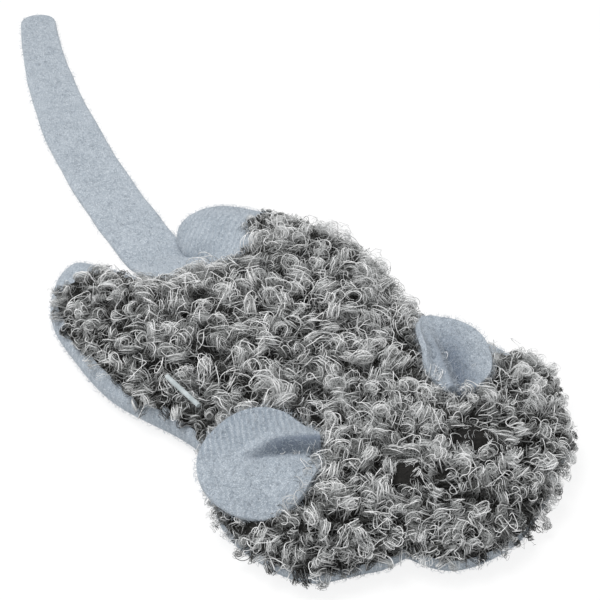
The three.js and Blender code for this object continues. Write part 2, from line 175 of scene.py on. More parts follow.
def newMaterial(name, constants):
    made = bpy.data.materials.new(name)
    made.use_nodes = True
    shader = made.node_tree.nodes["Principled BSDF"]
    for label, value in constants.items():
        shader.inputs[label].default_value = value
    return made, made.node_tree, shader


def ramp(tree, factor, stops):
    made = addNode(tree, "ShaderNodeValToRGB", {0: factor})
    while len(made.color_ramp.elements) < len(stops):
        made.color_ramp.elements.new(0.5)
    for element, (at, colour) in zip(made.color_ramp.elements, stops):
        element.position, element.color = at, colour
    return made.outputs[0]


def grain(tree, scale, detail=2.0, rough=0.5):
    place = shaderNode(tree, "TexCoord")["Object"]
    inputs = {"Vector": place, "Scale": scale, "Detail": detail, "Roughness": rough}
    return shaderNode(tree, "TexNoise", inputs)[0]


def mixed(tree, how, factor, first, second):
    return shaderNode(tree, "Mix", {0: factor, 6: first, 7: second}, data_type="RGBA", blend_type=how)[2]


# colour and bumps into the shader
def dress(tree, shader, colour, height, strength, depth):
    bump = shaderNode(tree, "Bump", {"Strength": strength, "Distance": depth, "Height": height})[0]
    tree.links.new(colour, shader.inputs["Base Color"])
    tree.links.new(bump, shader.inputs["Normal"])


fleeceLook = {
    "shade": (148, 158, 168),
    "cloth": (170, 179, 188),
    "fleck": (220, 227, 233),
    # colour of the painted shade in the knit's grooves
    "shadedGroove": (132, 144, 157),
    # colour of the painted shade along an ear's crease
    "paintedFoldShade": (92, 104, 122),
    "cloudScale": 240,  # per metre, patches of about 4 mm
    "napScale": 1300,
    "fleckScale": 4200,
    "cloudShare": 0.35,
    "fleckShare": 0.75,
    "paintedFoldShadeShare": 0.75,
    "wobble": 1.2,
    "grooveHeight": -0.8,
    "fleckHeight": 0.6,
    "bump": 0.0003,
}


# brushed knit: a speckled nap, with the ribs of the knit where a piece's own rib values say so; the same
# values paint shade into the ribs' grooves and along an ear's crease
def makeFleece():
    look = fleeceLook
    made, tree, shader = newMaterial("brushedFleece", {
        "Roughness": 0.92, "Specular IOR Level": 0.12, "Sheen Weight": 0.15, "Sheen Roughness": 0.5})
    times, timesPlus = sums(tree, "MULTIPLY", "MULTIPLY_ADD")
    clouds = grain(tree, look["cloudScale"], 3)
    nap = grain(tree, look["napScale"], 4, 0.7)
    flecks = grain(tree, look["fleckScale"])
    both = timesPlus(clouds, look["cloudShare"], times(nap, 1 - look["cloudShare"]))
    colour = ramp(tree, both, [(0.38, tone(*look["shade"])), (0.58, tone(*look["cloth"]))])
    specks = times(ramp(tree, flecks, [(0.48, grey(0)), (0.68, grey(1))]), look["fleckShare"])
    # rib values: place across the ribs, how deep they are, and how much painted shade darkens an ear's crease
    rib = split(tree, shaderNode(tree, "Attribute", attribute_name="rib")["Vector"])
    wave = maths(tree, "SINE", times(timesPlus(clouds, look["wobble"], rib["X"]), fullTurn))
    # the knit's grooves: painted shade in the colour, and dips in the bump
    shadedGroove = times(timesPlus(wave, 0.5, 0.5), rib["Y"])
    # painted shade along an ear's crease, from the third rib value
    paintedFoldShade = times(rib["Z"], look["paintedFoldShadeShare"])
    for label, amount in (("fleck", specks), ("shadedGroove", shadedGroove), ("paintedFoldShade", paintedFoldShade)):
        colour = mixed(tree, "MIX", amount, colour, tone(*look[label]))
    height = timesPlus(shadedGroove, look["grooveHeight"], timesPlus(flecks, look["fleckHeight"], nap))
    dress(tree, shader, colour, height, 0.8, look["bump"])
    return made


# matted fibre in two shades with fine bumps
def makeFelt(name, dark, light, scale, bump, rough=0.85, gloss=0.2, detail=3, fineScale=None, strength=0.6):
    made, tree, shader = newMaterial(name, {"Roughness": rough, "Specular IOR Level": gloss})
    colour = ramp(tree, grain(tree, scale, detail), [(0.35, tone(*dark)), (0.7, tone(*light))])
    dress(tree, shader, colour, grain(tree, fineScale or scale * 1.7), strength, bump)
    return made


# strand colour by its own map: darker low over the root as painted shade, and by the strand's shade
def makeStrand(name, stops, rootShade, rootRun, rough, gloss):
    made, tree, shader = newMaterial(name, {"Roughness": rough, "Specular IOR Level": gloss})
    parts = split(tree, shaderNode(tree, "UVMap", uv_map="OFBake")[0])
    colour = ramp(tree, parts["Y"], [(at, tone(*level)) for at, level in stops])
    root = ramp(tree, parts["X"], [(0, grey(rootShade)), (rootRun, grey(1))])
    tree.links.new(mixed(tree, "MULTIPLY", 1.0, colour, root), shader.inputs["Base Color"])
    return made


def makePinPlastic():
    made, tree, shader = newMaterial("milkyPlastic", {
        "Specular IOR Level": 0.5, "Transmission Weight": 0.25, "IOR": 1.49})
    colour = ramp(tree, grain(tree, 700), [(0.3, tone(176, 186, 188)), (0.7, tone(214, 222, 224))])
    rough = ramp(tree, grain(tree, 1500), [(0.3, grey(0.3)), (0.7, grey(0.45))])
    tree.links.new(colour, shader.inputs["Base Color"])
    tree.links.new(rough, shader.inputs["Roughness"])
    return made


fleece = makeFleece()
backing = makeFelt("plushBacking", (24, 24, 23), (50, 50, 48), 900, 0.0004, 0.95, 0.05, 4, 2200, 0.8)
greyFibre = makeStrand("greyFibre", [
    (0.0, (32, 31, 28)), (0.28, (58, 57, 53)), (0.48, (146, 148, 147)), (0.7, (220, 222, 222)),
    (1.0, (248, 249, 249))], 0.1, 0.8, 0.6, 0.3)
whiteStrand = makeStrand("whiteStrand", [
    (0.0, (110, 111, 110)), (0.3, (196, 198, 198)), (0.55, (244, 245, 245)), (1.0, (255, 255, 255))],
    0.12, 0.75, 0.45, 0.5)
fleeceFibre = makeStrand("fleeceFibre", [
    (0.0, (166, 177, 188)), (1.0, (214, 221, 228))], 0.85, 0.6, 0.6, 0.2)
eyeThread = makeFelt("eyeThread", (14, 14, 13), (36, 35, 33), 1800, 0.0002)
paleThread = makeFelt("paleThread", (160, 170, 182), (190, 198, 208), 2600, 0.0001)
looseFibre = makeFelt("looseFibre", (226, 222, 214), (246, 244, 238), 700, 0.0008)
driedLeaf = makeFelt("driedLeaf", (78, 86, 42), (128, 132, 74), 900, 0.0004)
pinPlastic = makePinPlastic()
print("materials made")

# Camera, floor and light
view = {"from": (-0.15663, -0.19661, 0.21417), "at": (0.01479, 0.02146, 0.005), "lens": 96, "sensor": 36}
floorShape = {"width": 6.0, "colour": 0.92, "seenColour": 0.16, "glow": 0.86}
light = {"world": 0.5, "lampPower": 3.4, "lampSize": 0.4, "lampAt": (-0.16, 0.12, 0.64), "at": (0, 0, 0)}


def placeAt(thing, spot, target):
    thing.location = spot
    thing.rotation_euler = (Vector(target) - Vector(spot)).to_track_quat("-Z", "Y").to_euler()
    scene.collection.objects.link(thing)


def seenDirectly(tree):
    path = shaderNode(tree, "LightPath")
    return maths(tree, "MAXIMUM", path["Is Camera Ray"],
                 maths(tree, "MAXIMUM", path["Is Glossy Ray"], path["Is Transmission Ray"]))


# lights the part as a white floor, and looks white itself with a faint shadow
def makeFloor():
    half = floorShape["width"] / 2
    piece = addMesh("floor", [(-half, -half, 0), (half, -half, 0), (half, half, 0), (-half, half, 0)],
                    [(0, 1, 2, 3)], 1)
    made = bpy.data.materials.new("paleFloor")
    made.use_nodes = True
    tree = made.node_tree
    tree.nodes.clear()
    lit = shaderNode(tree, "BsdfDiffuse", {"Color": grey(floorShape["colour"])})[0]
    faint = shaderNode(tree, "BsdfDiffuse", {"Color": grey(floorShape["seenColour"])})[0]
    glow = shaderNode(tree, "Emission", {"Strength": floorShape["glow"]})[0]
    both = shaderNode(tree, "AddShader", {0: faint, 1: glow})[0]
    shown = shaderNode(tree, "MixShader", {0: seenDirectly(tree), 1: lit, 2: both})[0]
    shaderNode(tree, "OutputMaterial", {0: shown})
    piece.data.materials.append(made)
    return piece


def makeWorld():
    world = bpy.data.worlds.new("studio")
    scene.world = world
    world.use_nodes = True
    tree = world.node_tree
    tree.nodes.clear()
    level = maths(tree, "MULTIPLY_ADD", seenDirectly(tree), 1 - light["world"], light["world"])
    sky = shaderNode(tree, "Background", {"Color": grey(1), "Strength": level})[0]
    shaderNode(tree, "OutputWorld", {0: sky})


camera = bpy.data.objects.new("camera", bpy.data.cameras.new("camera"))
camera.data.lens, camera.data.sensor_width = view["lens"], view["sensor"]
camera.data.clip_start = 0.01
placeAt(camera, view["from"], view["at"])
scene.camera = camera
floor = makeFloor()
makeWorld()
lampData = bpy.data.lights.new("softbox", "AREA")
lampData.shape, lampData.size, lampData.energy = "DISK", light["lampSize"], light["lampPower"]
placeAt(bpy.data.objects.new("softbox", lampData), light["lampAt"], light["at"])
print("camera, floor and light set")

# Outline and section of the stuffed body, in millimetres
bodyShape = {
    "curves": [  # the mouse's left half from the rear notch round to the tip of the snout
        [(0, 44), (2.4, 44), (4.7, 44), (7.1, 44)],
        [(7.1, 44), (8.9, 44), (8.2, 62.8), (17.2, 62.8)],
        [(17.2, 62.8), (26.2, 62.8), (34.8, 43.4), (34.8, 24)],
        [(34.8, 24), (34.8, 13), (29.4, 7), (29.4, -4)],
        [(29.4, -4), (29.4, -15), (38.2, -19), (38.2, -30)],
        [(38.2, -30), (38.2, -43), (28.8, -50.3), (15.8, -50.3)],
        [(15.8, -50.3), (15.8, -55.15), (8, -60), (0, -60)],
    ],
    "snout": -60.0,
    "step": 1.5,
    "belt": 4.0,
    "bellyRun": 5.0,
    "backRise": 7.0,
    "backRun": 18.0,
    "backLumps": (0.5, 11, 3.1, 6),  # height, size, seed and run in from the outline
    "bellyLumps": (0.15, 7, 8.4, 3),
    "rings": (0.12, 0.45, 1.0, 1.8, 2.8, 4.0, 5.5),
    "spacing": 2.2,
    "field": (-40, 40, -60, 63),
    "seam": 0.1,  # the plush starts this far in from the outline
    "patchWaver": (0.8, 4),  # how far the edges of the bare patches waver, and over what length
    "ribAcross": (-0.54, 0.84),
    "ribSpacing": 1.25,
    "ribDepth": 0.3,
    "lobeLean": 3.8,  # the lobe on the mouse's left leans to the tail
    "lobeFrom": (8, 44.5),
    "lobeRun": (16, 7),
    "nudges": [  # x, y, reach and shift: right cheek, left cheek, snout, left cheek's rear, right lobe
        (-36.0, -19.0, 15.0, -1.9, 0.0), (-26.0, -48.0, 11.0, 0.7, 1.5), (-15.8, -51.0, 7.0, 0.0, 1.2),
        (35.0, -41.5, 12.0, -2.2, 1.2), (16.5, -51.0, 8.0, 0.5, -1.4), (9.0, -58.0, 8.0, -0.4, 0.8),
        (0.0, -60.0, 12.0, 0.0, 0.8), (33.5, -16.0, 11.0, 2.2, 1.8), (-12.0, 58.0, 10.0, -1.4, -1.4),
        (-30.0, 48.0, 15.0, -0.9, 0.4),
    ],
}
barePatches = [  # where fleece shows on top: left lobe, tail's root, right lobe, behind left ear, flank
    [(6, 36), (12, 38.3), (16.2, 40.8), (17.6, 44.8), (20.4, 48), (25, 48.6), (30, 57), (20, 68), (4, 68)],
    [(-12.4, 50.7), (-12.1, 46.6), (-9.6, 43.1), (-3, 40.4), (6.2, 38.8), (8, 50), (0, 60), (-8, 58)],
    [(-26.6, 53.2), (-21.4, 53.9), (-16, 52.6), (-12.2, 48.6), (-8, 58), (-10, 68), (-30, 68)],
    [(30.5, -9), (29.4, -16), (31, -21.5), (36, -23.6), (45, -26), (45, -8), (31, -8)],
    [(-24.5, 56.7), (-28.4, 51.7), (-30.8, 46.3), (-33.2, 38.1), (-33.7, 24), (-33, 13.8), (-30.4, 6.8),
     (-28.9, -0.2), (-30, -6), (-40, 0), (-42, 24), (-38, 60), (-26, 68)],
]


def smooth(t):
    t = np.clip(t, 0, 1)
    return t * t * (3 - 2 * t)


# 1 at a place and 0 from its reach on
def nearTo(points, x, y, reach):
    return 1 - smooth(np.hypot(points[:, 0] - x, points[:, 1] - y) / reach)


def outlinePoints():
    half = []
    for curve in bodyShape["curves"]:
        a, b, c, d = (np.array(p, float) for p in curve)
        count = max(3, round(np.linalg.norm(d - a) / bodyShape["step"]))
        t = (np.arange(count) / count)[:, None]
        half.append((1 - t) ** 3 * a + 3 * t * (1 - t) ** 2 * b + 3 * t * t * (1 - t) * c + t ** 3 * d)
    first = np.vstack(half + [np.array([[0, bodyShape["snout"]]])])
    second = first[1:-1][::-1] * (-1, 1)
    (x, y), (runX, runY) = bodyShape["lobeFrom"], bodyShape["lobeRun"]
    lobe = smooth((first[:, 1] - y) / runY) * (1 - smooth((first[:, 0] - x) / runX))
    first[:, 0] -= bodyShape["lobeLean"] * lobe
    loop = np.vstack([first, second])  # clockwise seen from above
    for x, y, reach, *shift in bodyShape["nudges"]:
        loop = loop + nearTo(loop, x, y, reach)[:, None] * np.array(shift)
    return loop


outline = outlinePoints()
along = np.roll(outline, -1, 0) - np.roll(outline, 1, 0)
inward = np.c_[along[:, 1], -along[:, 0]] / np.linalg.norm(along, axis=1)[:, None]


def edgeDistance(points):
    points = np.asarray(points, float)
    run = np.roll(outline, -1, 0) - outline
    size = (run ** 2).sum(1)
    best = np.empty(len(points))
    for part in np.array_split(np.arange(len(points)), len(points) // 1500 + 1):
        away = points[part][:, None] - outline
        t = np.clip((away * run).sum(2) / size, 0, 1)
        best[part] = np.sqrt(((away - run * t[..., None]) ** 2).sum(2)).min(1)
    return best


def inside(points, loop):
    points, loop = np.asarray(points, float), np.asarray(loop, float)
    after = np.roll(loop, -1, 0)
    x, y = points[:, :1], points[:, 1:2]
    crosses = (loop[:, 1] > y) != (after[:, 1] > y)
    rise = np.where(after[:, 1] == loop[:, 1], 1e-9, after[:, 1] - loop[:, 1])
    meet = loop[:, 0] + (y - loop[:, 1]) / rise * (after[:, 0] - loop[:, 0])
    return (crosses & (x < meet)).sum(1) % 2 == 1


def roll(depth, run):
    return np.sqrt(1 - (1 - np.clip(depth / run, 0, 1)) ** 2)


def backFace(depth):
    return bodyShape["belt"] + bodyShape["backRise"] * roll(depth, bodyShape["backRun"])


def bellyFace(depth):
    return bodyShape["belt"] - bodyShape["belt"] * roll(depth, bodyShape["bellyRun"])


# flat mesh of the body's plan: the outline, rings that follow it and an even field inside
def planMesh():
    points = [outline]
    for depth in bodyShape["rings"]:
        ring = outline + inward * depth
        good = inside(ring, outline) & (np.abs(edgeDistance(ring) - depth) < 0.2 * depth + 0.02)
        points.append(ring[good])
    gap, (left, right, front, rear) = bodyShape["spacing"], bodyShape["field"]
    rows, columns = np.arange(front, rear, gap * 0.866), np.arange(left, right, gap)
    field = np.array([(x + (i % 2) * gap / 2, y) for i, y in enumerate(rows) for x in columns])
    field = field[inside(field, outline)]
    points.append(field[edgeDistance(field) > bodyShape["rings"][-1] + gap / 2])
    loop = list(range(len(outline)))[::-1]
    made = delaunay_2d_cdt([Vector(p) for p in np.vstack(points)], [], [loop], 1, 1e-5)
    return np.array([tuple(p) for p in made[0]]), [tuple(f) for f in made[2]]


plan, planFaces = planMesh()
planDepth = edgeDistance(plan)
planDepth[planDepth < 1e-3] = 0
onEdge = planDepth == 0
print("body plan", len(plan), "points", len(planFaces), "faces")


# the plan's faces with all corners kept, numbered anew
def planPart(keep):
    faces = [f for f in planFaces if all(keep[i] for i in f)]
    used = sorted({i for f in faces for i in f})
    place = {old: new for new, old in enumerate(used)}
    return used, [tuple(place[i] for i in f) for f in faces]


# soft lumps that stuffing leaves under the cloth
def lumps(points, size, seed):
    return np.array([noise.noise(Vector((p[0] / size, p[1] / size, seed))) for p in points])


def bodyLumps(height, size, seed, run):
    return height * lumps(plan, size, seed) * smooth(planDepth / run)


backZ = backFace(planDepth) + bodyLumps(*bodyShape["backLumps"])
bellyZ = np.maximum(bellyFace(planDepth) + bodyLumps(*bodyShape["bellyLumps"]), 0)
backZ[onEdge] = bellyZ[onEdge] = bodyShape["belt"]


# Belly panel: the underside, the rim and the strip of fleece that shows on top
def makeBelly():
    index = np.where(onEdge, np.arange(len(plan)), np.arange(len(plan)) + len(plan))
    faces = list(planFaces) + [tuple(int(index[i]) for i in f[::-1]) for f in planFaces]
    piece = addMesh("bellyPanel", np.vstack([np.c_[plan, backZ], np.c_[plan, bellyZ]]), faces)
    phase = np.vstack([plan, plan]) @ np.array(bodyShape["ribAcross"]) / bodyShape["ribSpacing"]
    addValues(piece, "rib", np.c_[phase, np.full(len(phase), bodyShape["ribDepth"]), np.zeros(len(phase))])
    piece.data.materials.append(fleece)
    return piece


belly = makeBelly()
print("belly panel made")

# Ears: CAD's cupped rounds, with the pleat at the root and a soft rolled rim
earShape = {
    "radius": 12.2,
    "rootHalf": 5.0,
    "axisZ": 13.2,
    "thickness": 1.2,
    "columns": 64,
    "rows": 44,
    "lump": 0.25,
    "lumpSize": 4,
    "ribSpacing": 1.05,
    "plainRibs": 0.08,  # depth of the ribs all over, and more of them at the rear and the rim
    "rearRibs": (1, 3),
    "rimRibs": (6, 5),
    "rimShare": 0.25,
}
earSides = {  # front and rear: width share far out and at the root, rise of the rim and beside the crease
    "right_ear": {
        "label": "rightEarFlap", "side": -1, "rootX": -17.4, "rootY": -26.0, "sweep": 30.0, "pitch": -6.0,
        "front": (1.0, 0.65, -3.6, 0.0), "rear": (1.0, 0.6, 2.5, 2.4), "crease": 0.3, "creaseBow": 1.3,
        "creaseDepth": 0.9, "creaseWide": 0.8, "bowlWide": 5.0, "creaseRun": 17.0, "wall": 1.0,
        "pinchRun": 6.0, "ribs": 0.4, "clear": 1.2, "seed": 1.7},
    "left_ear": {
        "label": "leftEarFlap", "side": 1, "rootX": 12.8, "rootY": -29.0, "sweep": 62.5, "pitch": 1.6,
        "front": (0.84, 0.9, 0.9, 1.4), "rear": (0.26, 0.22, 2.6, 2.4), "crease": -2.4, "creaseBow": 0.0,
        "creaseDepth": 1.5, "creaseWide": 2.6, "bowlWide": 3.2, "creaseRun": 24.0, "wall": 4.0,
        "pinchRun": 14.0, "ribs": 0.06, "clear": -0.6, "seed": 5.3},
}
# distance of the round's middle from the root line
earMiddle = math.sqrt(earShape["radius"] ** 2 - earShape["rootHalf"] ** 2)


def earFrame(ear):
    sweep = math.radians(ear["sweep"])
    reach = np.array([ear["side"] * math.cos(sweep), math.sin(sweep), 0])
    hinge = np.cross(reach, (0, 0, 1))
    root = np.array([ear["rootX"], ear["rootY"], earShape["axisZ"]])
    return root, hinge, reach


# distance from the crease towards the rear, and how much of the crease is left so far out
def earCrease(ear, across, out):
    bow = np.sin(np.pi * np.clip(out / ear["creaseRun"], 0, 1))
    gap = -ear["side"] * across - ear["crease"] - ear["creaseBow"] * bow
    return gap, smooth((1 - out / ear["creaseRun"]) * 1.6)


# width left and height of the ear's middle layer, across the flat ear and out from its root
def earLay(ear, across, out):
    radius = earShape["radius"]
    lift = smooth(out / radius)
    atRear = ear["side"] * across < 0
    share, atRoot, rise = (np.where(atRear, ear["rear"][i], ear["front"][i]) for i in range(3))
    height = math.tan(math.radians(ear["pitch"])) * out + rise * lift * (across / radius) ** 2
    gap, fade = earCrease(ear, across, out)
    lip = np.where(gap > 0, ear["rear"][3], ear["front"][3])
    wide = np.where(gap < 0, ear["bowlWide"], ear["creaseWide"])
    height = height - ear["creaseDepth"] * fade * np.exp(-(gap / wide) ** 2)
    height = height + lip * fade * smooth(abs(gap) / ear["wall"]) * np.exp(-(gap / 6) ** 2)
    pinch = atRoot + (1 - atRoot) * smooth(out / ear["pinchRun"])
    return (1 + (share - 1) * lift) * pinch, height


def makeEar(name):
    ear = earSides[name]
    root, hinge, reach = earFrame(ear)
    radius, columns, rows = earShape["radius"], earShape["columns"], earShape["rows"]
    first, lumpSize = math.asin(earShape["rootHalf"] / radius), earShape["lumpSize"]
    points = []
    for j in range(rows + 1):
        turn = first + (math.pi * 0.985 - first) * j / rows
        out = earMiddle - radius * math.cos(turn)
        wide = radius * math.sin(turn)
        for i in range(columns + 1):
            across = wide * (2 * i / columns - 1)
            share, height = earLay(ear, across, out)
            height += earShape["lump"] * noise.noise(Vector((across / lumpSize, out / lumpSize, ear["seed"])))
            points.append(root + hinge * across * share + reach * out + np.array([0, 0, height]))
    piece = thicken(addMesh(ear["label"], points, gridFaces(rows, columns)), earShape["thickness"])
    away = pointsOf(piece) - root
    across, out = away @ hinge, np.maximum(away @ reach, 0)
    gap, fade = earCrease(ear, across, out)
    (rearFrom, rearRun), (rimFrom, rimRun) = earShape["rearRibs"], earShape["rimRibs"]
    ribs = earShape["plainRibs"] + ear["ribs"] * smooth((gap - rearFrom) / rearRun)
    nearRim = smooth((np.hypot(across, out - earMiddle) - rimFrom) / rimRun)
    ribs = ribs + earShape["rimShare"] * ear["ribs"] * nearRim
    # painted shade along the crease, strongest just behind it and fading out away from the root, kept as the
    # third rib value
    shade = fade * np.exp(-((gap - 0.2) / ear["creaseWide"] / 1.3) ** 2)
    addValues(piece, "rib", np.c_[out / earShape["ribSpacing"], ribs, shade])
    piece.data.materials.append(fleece)
    return piece


ears = {name: makeEar(name) for name in earSides}
print("ears made")

# Tail: one strip from under the pile, over the notch and along the floor
tailShape = {
    "path": [(0.4, 45.6), (9.4, 119), (42.4, 179.3)],
    "width": 14.6,
    "endWidth": 9.6,
    "taperFrom": 70.0,
    "thickness": 1.6,
    "axisZ": 4.6,
    "restZ": 0.95,
    "droop": 15.0,
    "tuck": 6.0,  # hidden length under the pile
    "tuckRise": 0.6,
    "waver": 0.22,  # of the width
    "ripple": 0.25,
    "rippleFrom": 20,
    "columns": 14,
    "step": 1.1,
    "endSteps": 9,
}


def makeTail():
    shape = tailShape
    t = np.linspace(0, 1, 400)[:, None]
    a, b, c = (np.array(p, float) for p in shape["path"])
    path = (1 - t) ** 2 * a + 2 * t * (1 - t) * b + t * t * c
    lead = np.linspace(-shape["tuck"], -0.05, 20)[:, None] * np.array([[0.0, 1.0]]) + a
    path = np.vstack([lead, path])
    run = np.r_[0, np.cumsum(np.linalg.norm(np.diff(path, axis=0), axis=1))] - shape["tuck"]
    length, columns, half, endHalf = run[-1], shape["columns"], shape["width"] / 2, shape["endWidth"] / 2

    def spotAt(s):
        return np.array([np.interp(s, run, path[:, k]) for k in range(2)])

    stations = list(np.arange(-shape["tuck"], length - endHalf, shape["step"]))
    stations += list(length - endHalf + endHalf * np.sin(np.linspace(0, 0.97, shape["endSteps"]) * np.pi / 2))
    points = []
    for s in stations:
        ahead = spotAt(s + 0.5) - spotAt(s - 0.5)
        across = np.array([ahead[1], -ahead[0]]) / np.linalg.norm(ahead)
        narrowed = np.clip((s - shape["taperFrom"]) / (length - shape["taperFrom"]), 0, 1)
        wide = half + (endHalf - half) * narrowed
        over = s - (length - endHalf)
        if over > 0:
            wide *= math.sqrt(max(1 - (over / endHalf) ** 2.6, 0.02))
        wide += shape["waver"] * noise.noise(Vector((s / 9, 0, 2.2)))
        z = shape["axisZ"] + (shape["restZ"] - shape["axisZ"]) * float(smooth(s / shape["droop"]))
        z += shape["tuckRise"] * float(smooth(-s / shape["tuck"]))
        for i in range(columns + 1):
            side = 2 * i / columns - 1
            ripple = shape["ripple"] * max(noise.noise(Vector((s / 12, side * 1.2, 7.7))), 0)
            x, y = spotAt(s) + across * wide * side
            points.append((x, y, z + ripple * float(smooth(s / shape["rippleFrom"]))))
    faces = [f[::-1] for f in gridFaces(len(stations) - 1, columns)]
    piece = thicken(addMesh("tailStrip", points, faces), shape["thickness"])
    piece.data.materials.append(fleece)
    print("tail made,", round(length + shape["tuck"], 1), "mm")
    return piece


tail = makeTail()


# Plush back: a dark knitted backing inside the seam, which carries the curls
def underPlush():
    covered = planDepth > bodyShape["seam"]
    height, size = bodyShape["patchWaver"]
    shaken = plan + height * np.c_[lumps(plan, size, 6.1), lumps(plan, size, 9.2)]
    for patch in barePatches:
        covered &= ~inside(shaken, patch)
    return covered


# how tall the pile stands: short at the rim, under an ear, round an eye and beside the pin
pileShape = {
    "skin": 0.35,  # the backing's height over the belly panel
    "full": 5.6,
    "least": 0.12,
    "rim": 0.38,
    "rimRun": 6.0,
    "rimThick": 1.1,
    "headFrom": -5,
    "headRun": 22,
    "headFine": 0.25,  # curls on the head are smaller by this share
    "headThick": 0.35,
    "flat": 0.5,  # the rear and left rims are pressed flat
    "flatTowards": (0.62, 0.78),
    "flatRun": 9.0,
    "places": [  # x, y, reach and share added: cheeks, left ear's root and side, lobes, flank, snout
        (-38.0, -26.0, 14.0, 0.7), (-26.0, -48.0, 13.0, 0.1), (12.8, -31.0, 5.0, -0.5),
        (6.5, -22.0, 7.0, 0.5), (25.0, 49.0, 17.0, -0.55), (37.0, -42.0, 13.0, -0.75),
        (-35.0, 28.0, 16.0, -0.45), (32.0, -45.0, 10.0, -0.6), (18.0, -51.0, 7.0, 0.8),
        (-17.0, -52.0, 6.0, -0.5), (-15.0, 51.0, 7.0, -0.5), (30.0, -16.0, 11.0, -0.8),
    ],
    "hang": [  # x, y, reach and how far the pile hangs over the rim
        (-34.0, -41.0, 12.0, 1.0), (-27.0, -48.0, 8.0, 0.9), (-38.0, -30.0, 9.0, 1.2),
        (7.0, -58.5, 11.0, 2.4), (-7.0, -57.5, 9.0, 1.0),
    ],
    "rumpFrom": 30.0,
    "rumpRun": 16.0,
    "rumpShare": 0.6,
    "earClear": 1.5,
    "earFade": 1.6,
    "rootFrom": 0.4,
    "rootRun": 2.2,
    "eyes": ((-8.4, -40.0, 4.3), (8.0, -40.0, 3.6)),  # place and half width of the bare spot
    "pinEnds": ((-27.65, 9.8), (-27.15, -0.2)),
    "eyeInset": 0.6,
    "eyeFade": 2.2,
    "pinShare": 0.6,
    "pinClear": 1.2,
    "pinFade": 2,
    "backing": 0.3,
}


def makePlush():
    used, faces = planPart(covered)
    piece = addMesh("plushBacking", np.c_[plan, backZ + pileShape["skin"]][used], faces)
    piece.data.materials.append(backing)
    return piece


def pileHeights(points, depth):
    shape, spots, step = pileShape, points[:, :2], 0.2
    pile = shape["rim"] + (1 - shape["rim"]) * smooth(depth / shape["rimRun"])
    rump = smooth((points[:, 1] - shape["rumpFrom"]) / shape["rumpRun"])
    pile = pile * (1 - (1 - shape["rumpShare"]) * rump)
    slope = [edgeDistance(spots + d) - edgeDistance(spots - d) for d in np.eye(2) * step]
    facing = -(np.c_[slope[0], slope[1]] / (2 * step)) @ np.array(shape["flatTowards"])
    pile = pile * (1 - shape["flat"] * smooth(facing * 1.5) * (1 - smooth(depth / shape["flatRun"])))
    for x, y, run, share in shape["places"]:
        pile = pile * (1 + share * nearTo(points, x, y, run))
    for ear in earSides.values():
        root, hinge, reach = earFrame(ear)
        across, out = (points - root) @ hinge, (points - root) @ reach
        share, height = earLay(ear, across, np.maximum(out, 0))
        share, height = earLay(ear, across / share, np.maximum(out, 0))
        under = root[2] + height - shape["earClear"]
        room = np.clip((under - points[:, 2]) / shape["full"], shape["least"], 1)
        gap = np.hypot(across / share, out - earMiddle) - earShape["radius"]
        pastRoot = smooth((out - shape["rootFrom"]) / shape["rootRun"])
        inEar = (1 - smooth((gap - ear["clear"]) / shape["earFade"])) * pastRoot
        pile = np.minimum(pile, 1 + (room - 1) * inEar)
    for x, y, clear in shape["eyes"]:
        gap = np.hypot(points[:, 0] - x, points[:, 1] - y)
        clearOf = smooth((gap - clear + shape["eyeInset"]) / shape["eyeFade"])
        pile = np.minimum(pile, shape["least"] + (1 - shape["least"]) * clearOf)
    first, last = (np.array(p) for p in shape["pinEnds"])
    t = np.clip((spots - first) @ (last - first) / ((last - first) @ (last - first)), 0, 1)
    gap = np.linalg.norm(spots - first - t[:, None] * (last - first), axis=1)
    clearOf = smooth((gap - shape["pinClear"]) / shape["pinFade"])
    return np.minimum(pile, shape["pinShare"] + (1 - shape["pinShare"]) * clearOf)


# the plush carries the pile's height, how far it hangs, the curls' size and how thick they stand
def addPileValues():
    shape, points = pileShape, pointsOf(plush)
    depth = edgeDistance(points[:, :2])
    addValues(plush, "pile", pileHeights(points, depth))
    sag = np.zeros(len(points))
    for x, y, run, drop in shape["hang"]:
        sag = np.maximum(sag, drop * mm * nearTo(points, x, y, run))
    addValues(plush, "sag", sag)
    onHead = smooth((shape["headFrom"] - points[:, 1]) / shape["headRun"])
    addValues(plush, "curl", 1 - shape["headFine"] * onHead)
    atRim = 1 - smooth(depth / shape["rimRun"])
    addValues(plush, "thick", 1 + shape["rimThick"] * atRim + shape["headThick"] * onHead)


covered = underPlush()
plush = makePlush()
addPileValues()
print("plush backing made")

# Tufts of the pile stand in rows, moved a little out of line as CAD has them, and then in two rows
# along the seam and before the root of each ear
tuftShape = {
    "spacing": 6.2, "scatter": 1.3, "columns": 8, "rows": 13, "rims": ((0.8, 0), (2.9, 1)), "rimStride": 3,
    "clear": 4.4, "rootBack": 0.9, "rootAcross": (-4.6, -1.6, 1.6, 4.6),
}


def tuftTop(column, row):
    spacing, scatter = tuftShape["spacing"], tuftShape["scatter"]
    shift = spacing / 2 if row % 2 else 0
    return (column * spacing + shift + scatter * math.sin(4.7 * column + 2.9 * row),
            row * spacing * math.sqrt(3) / 2 + scatter * math.cos(3.1 * column + 5.3 * row))


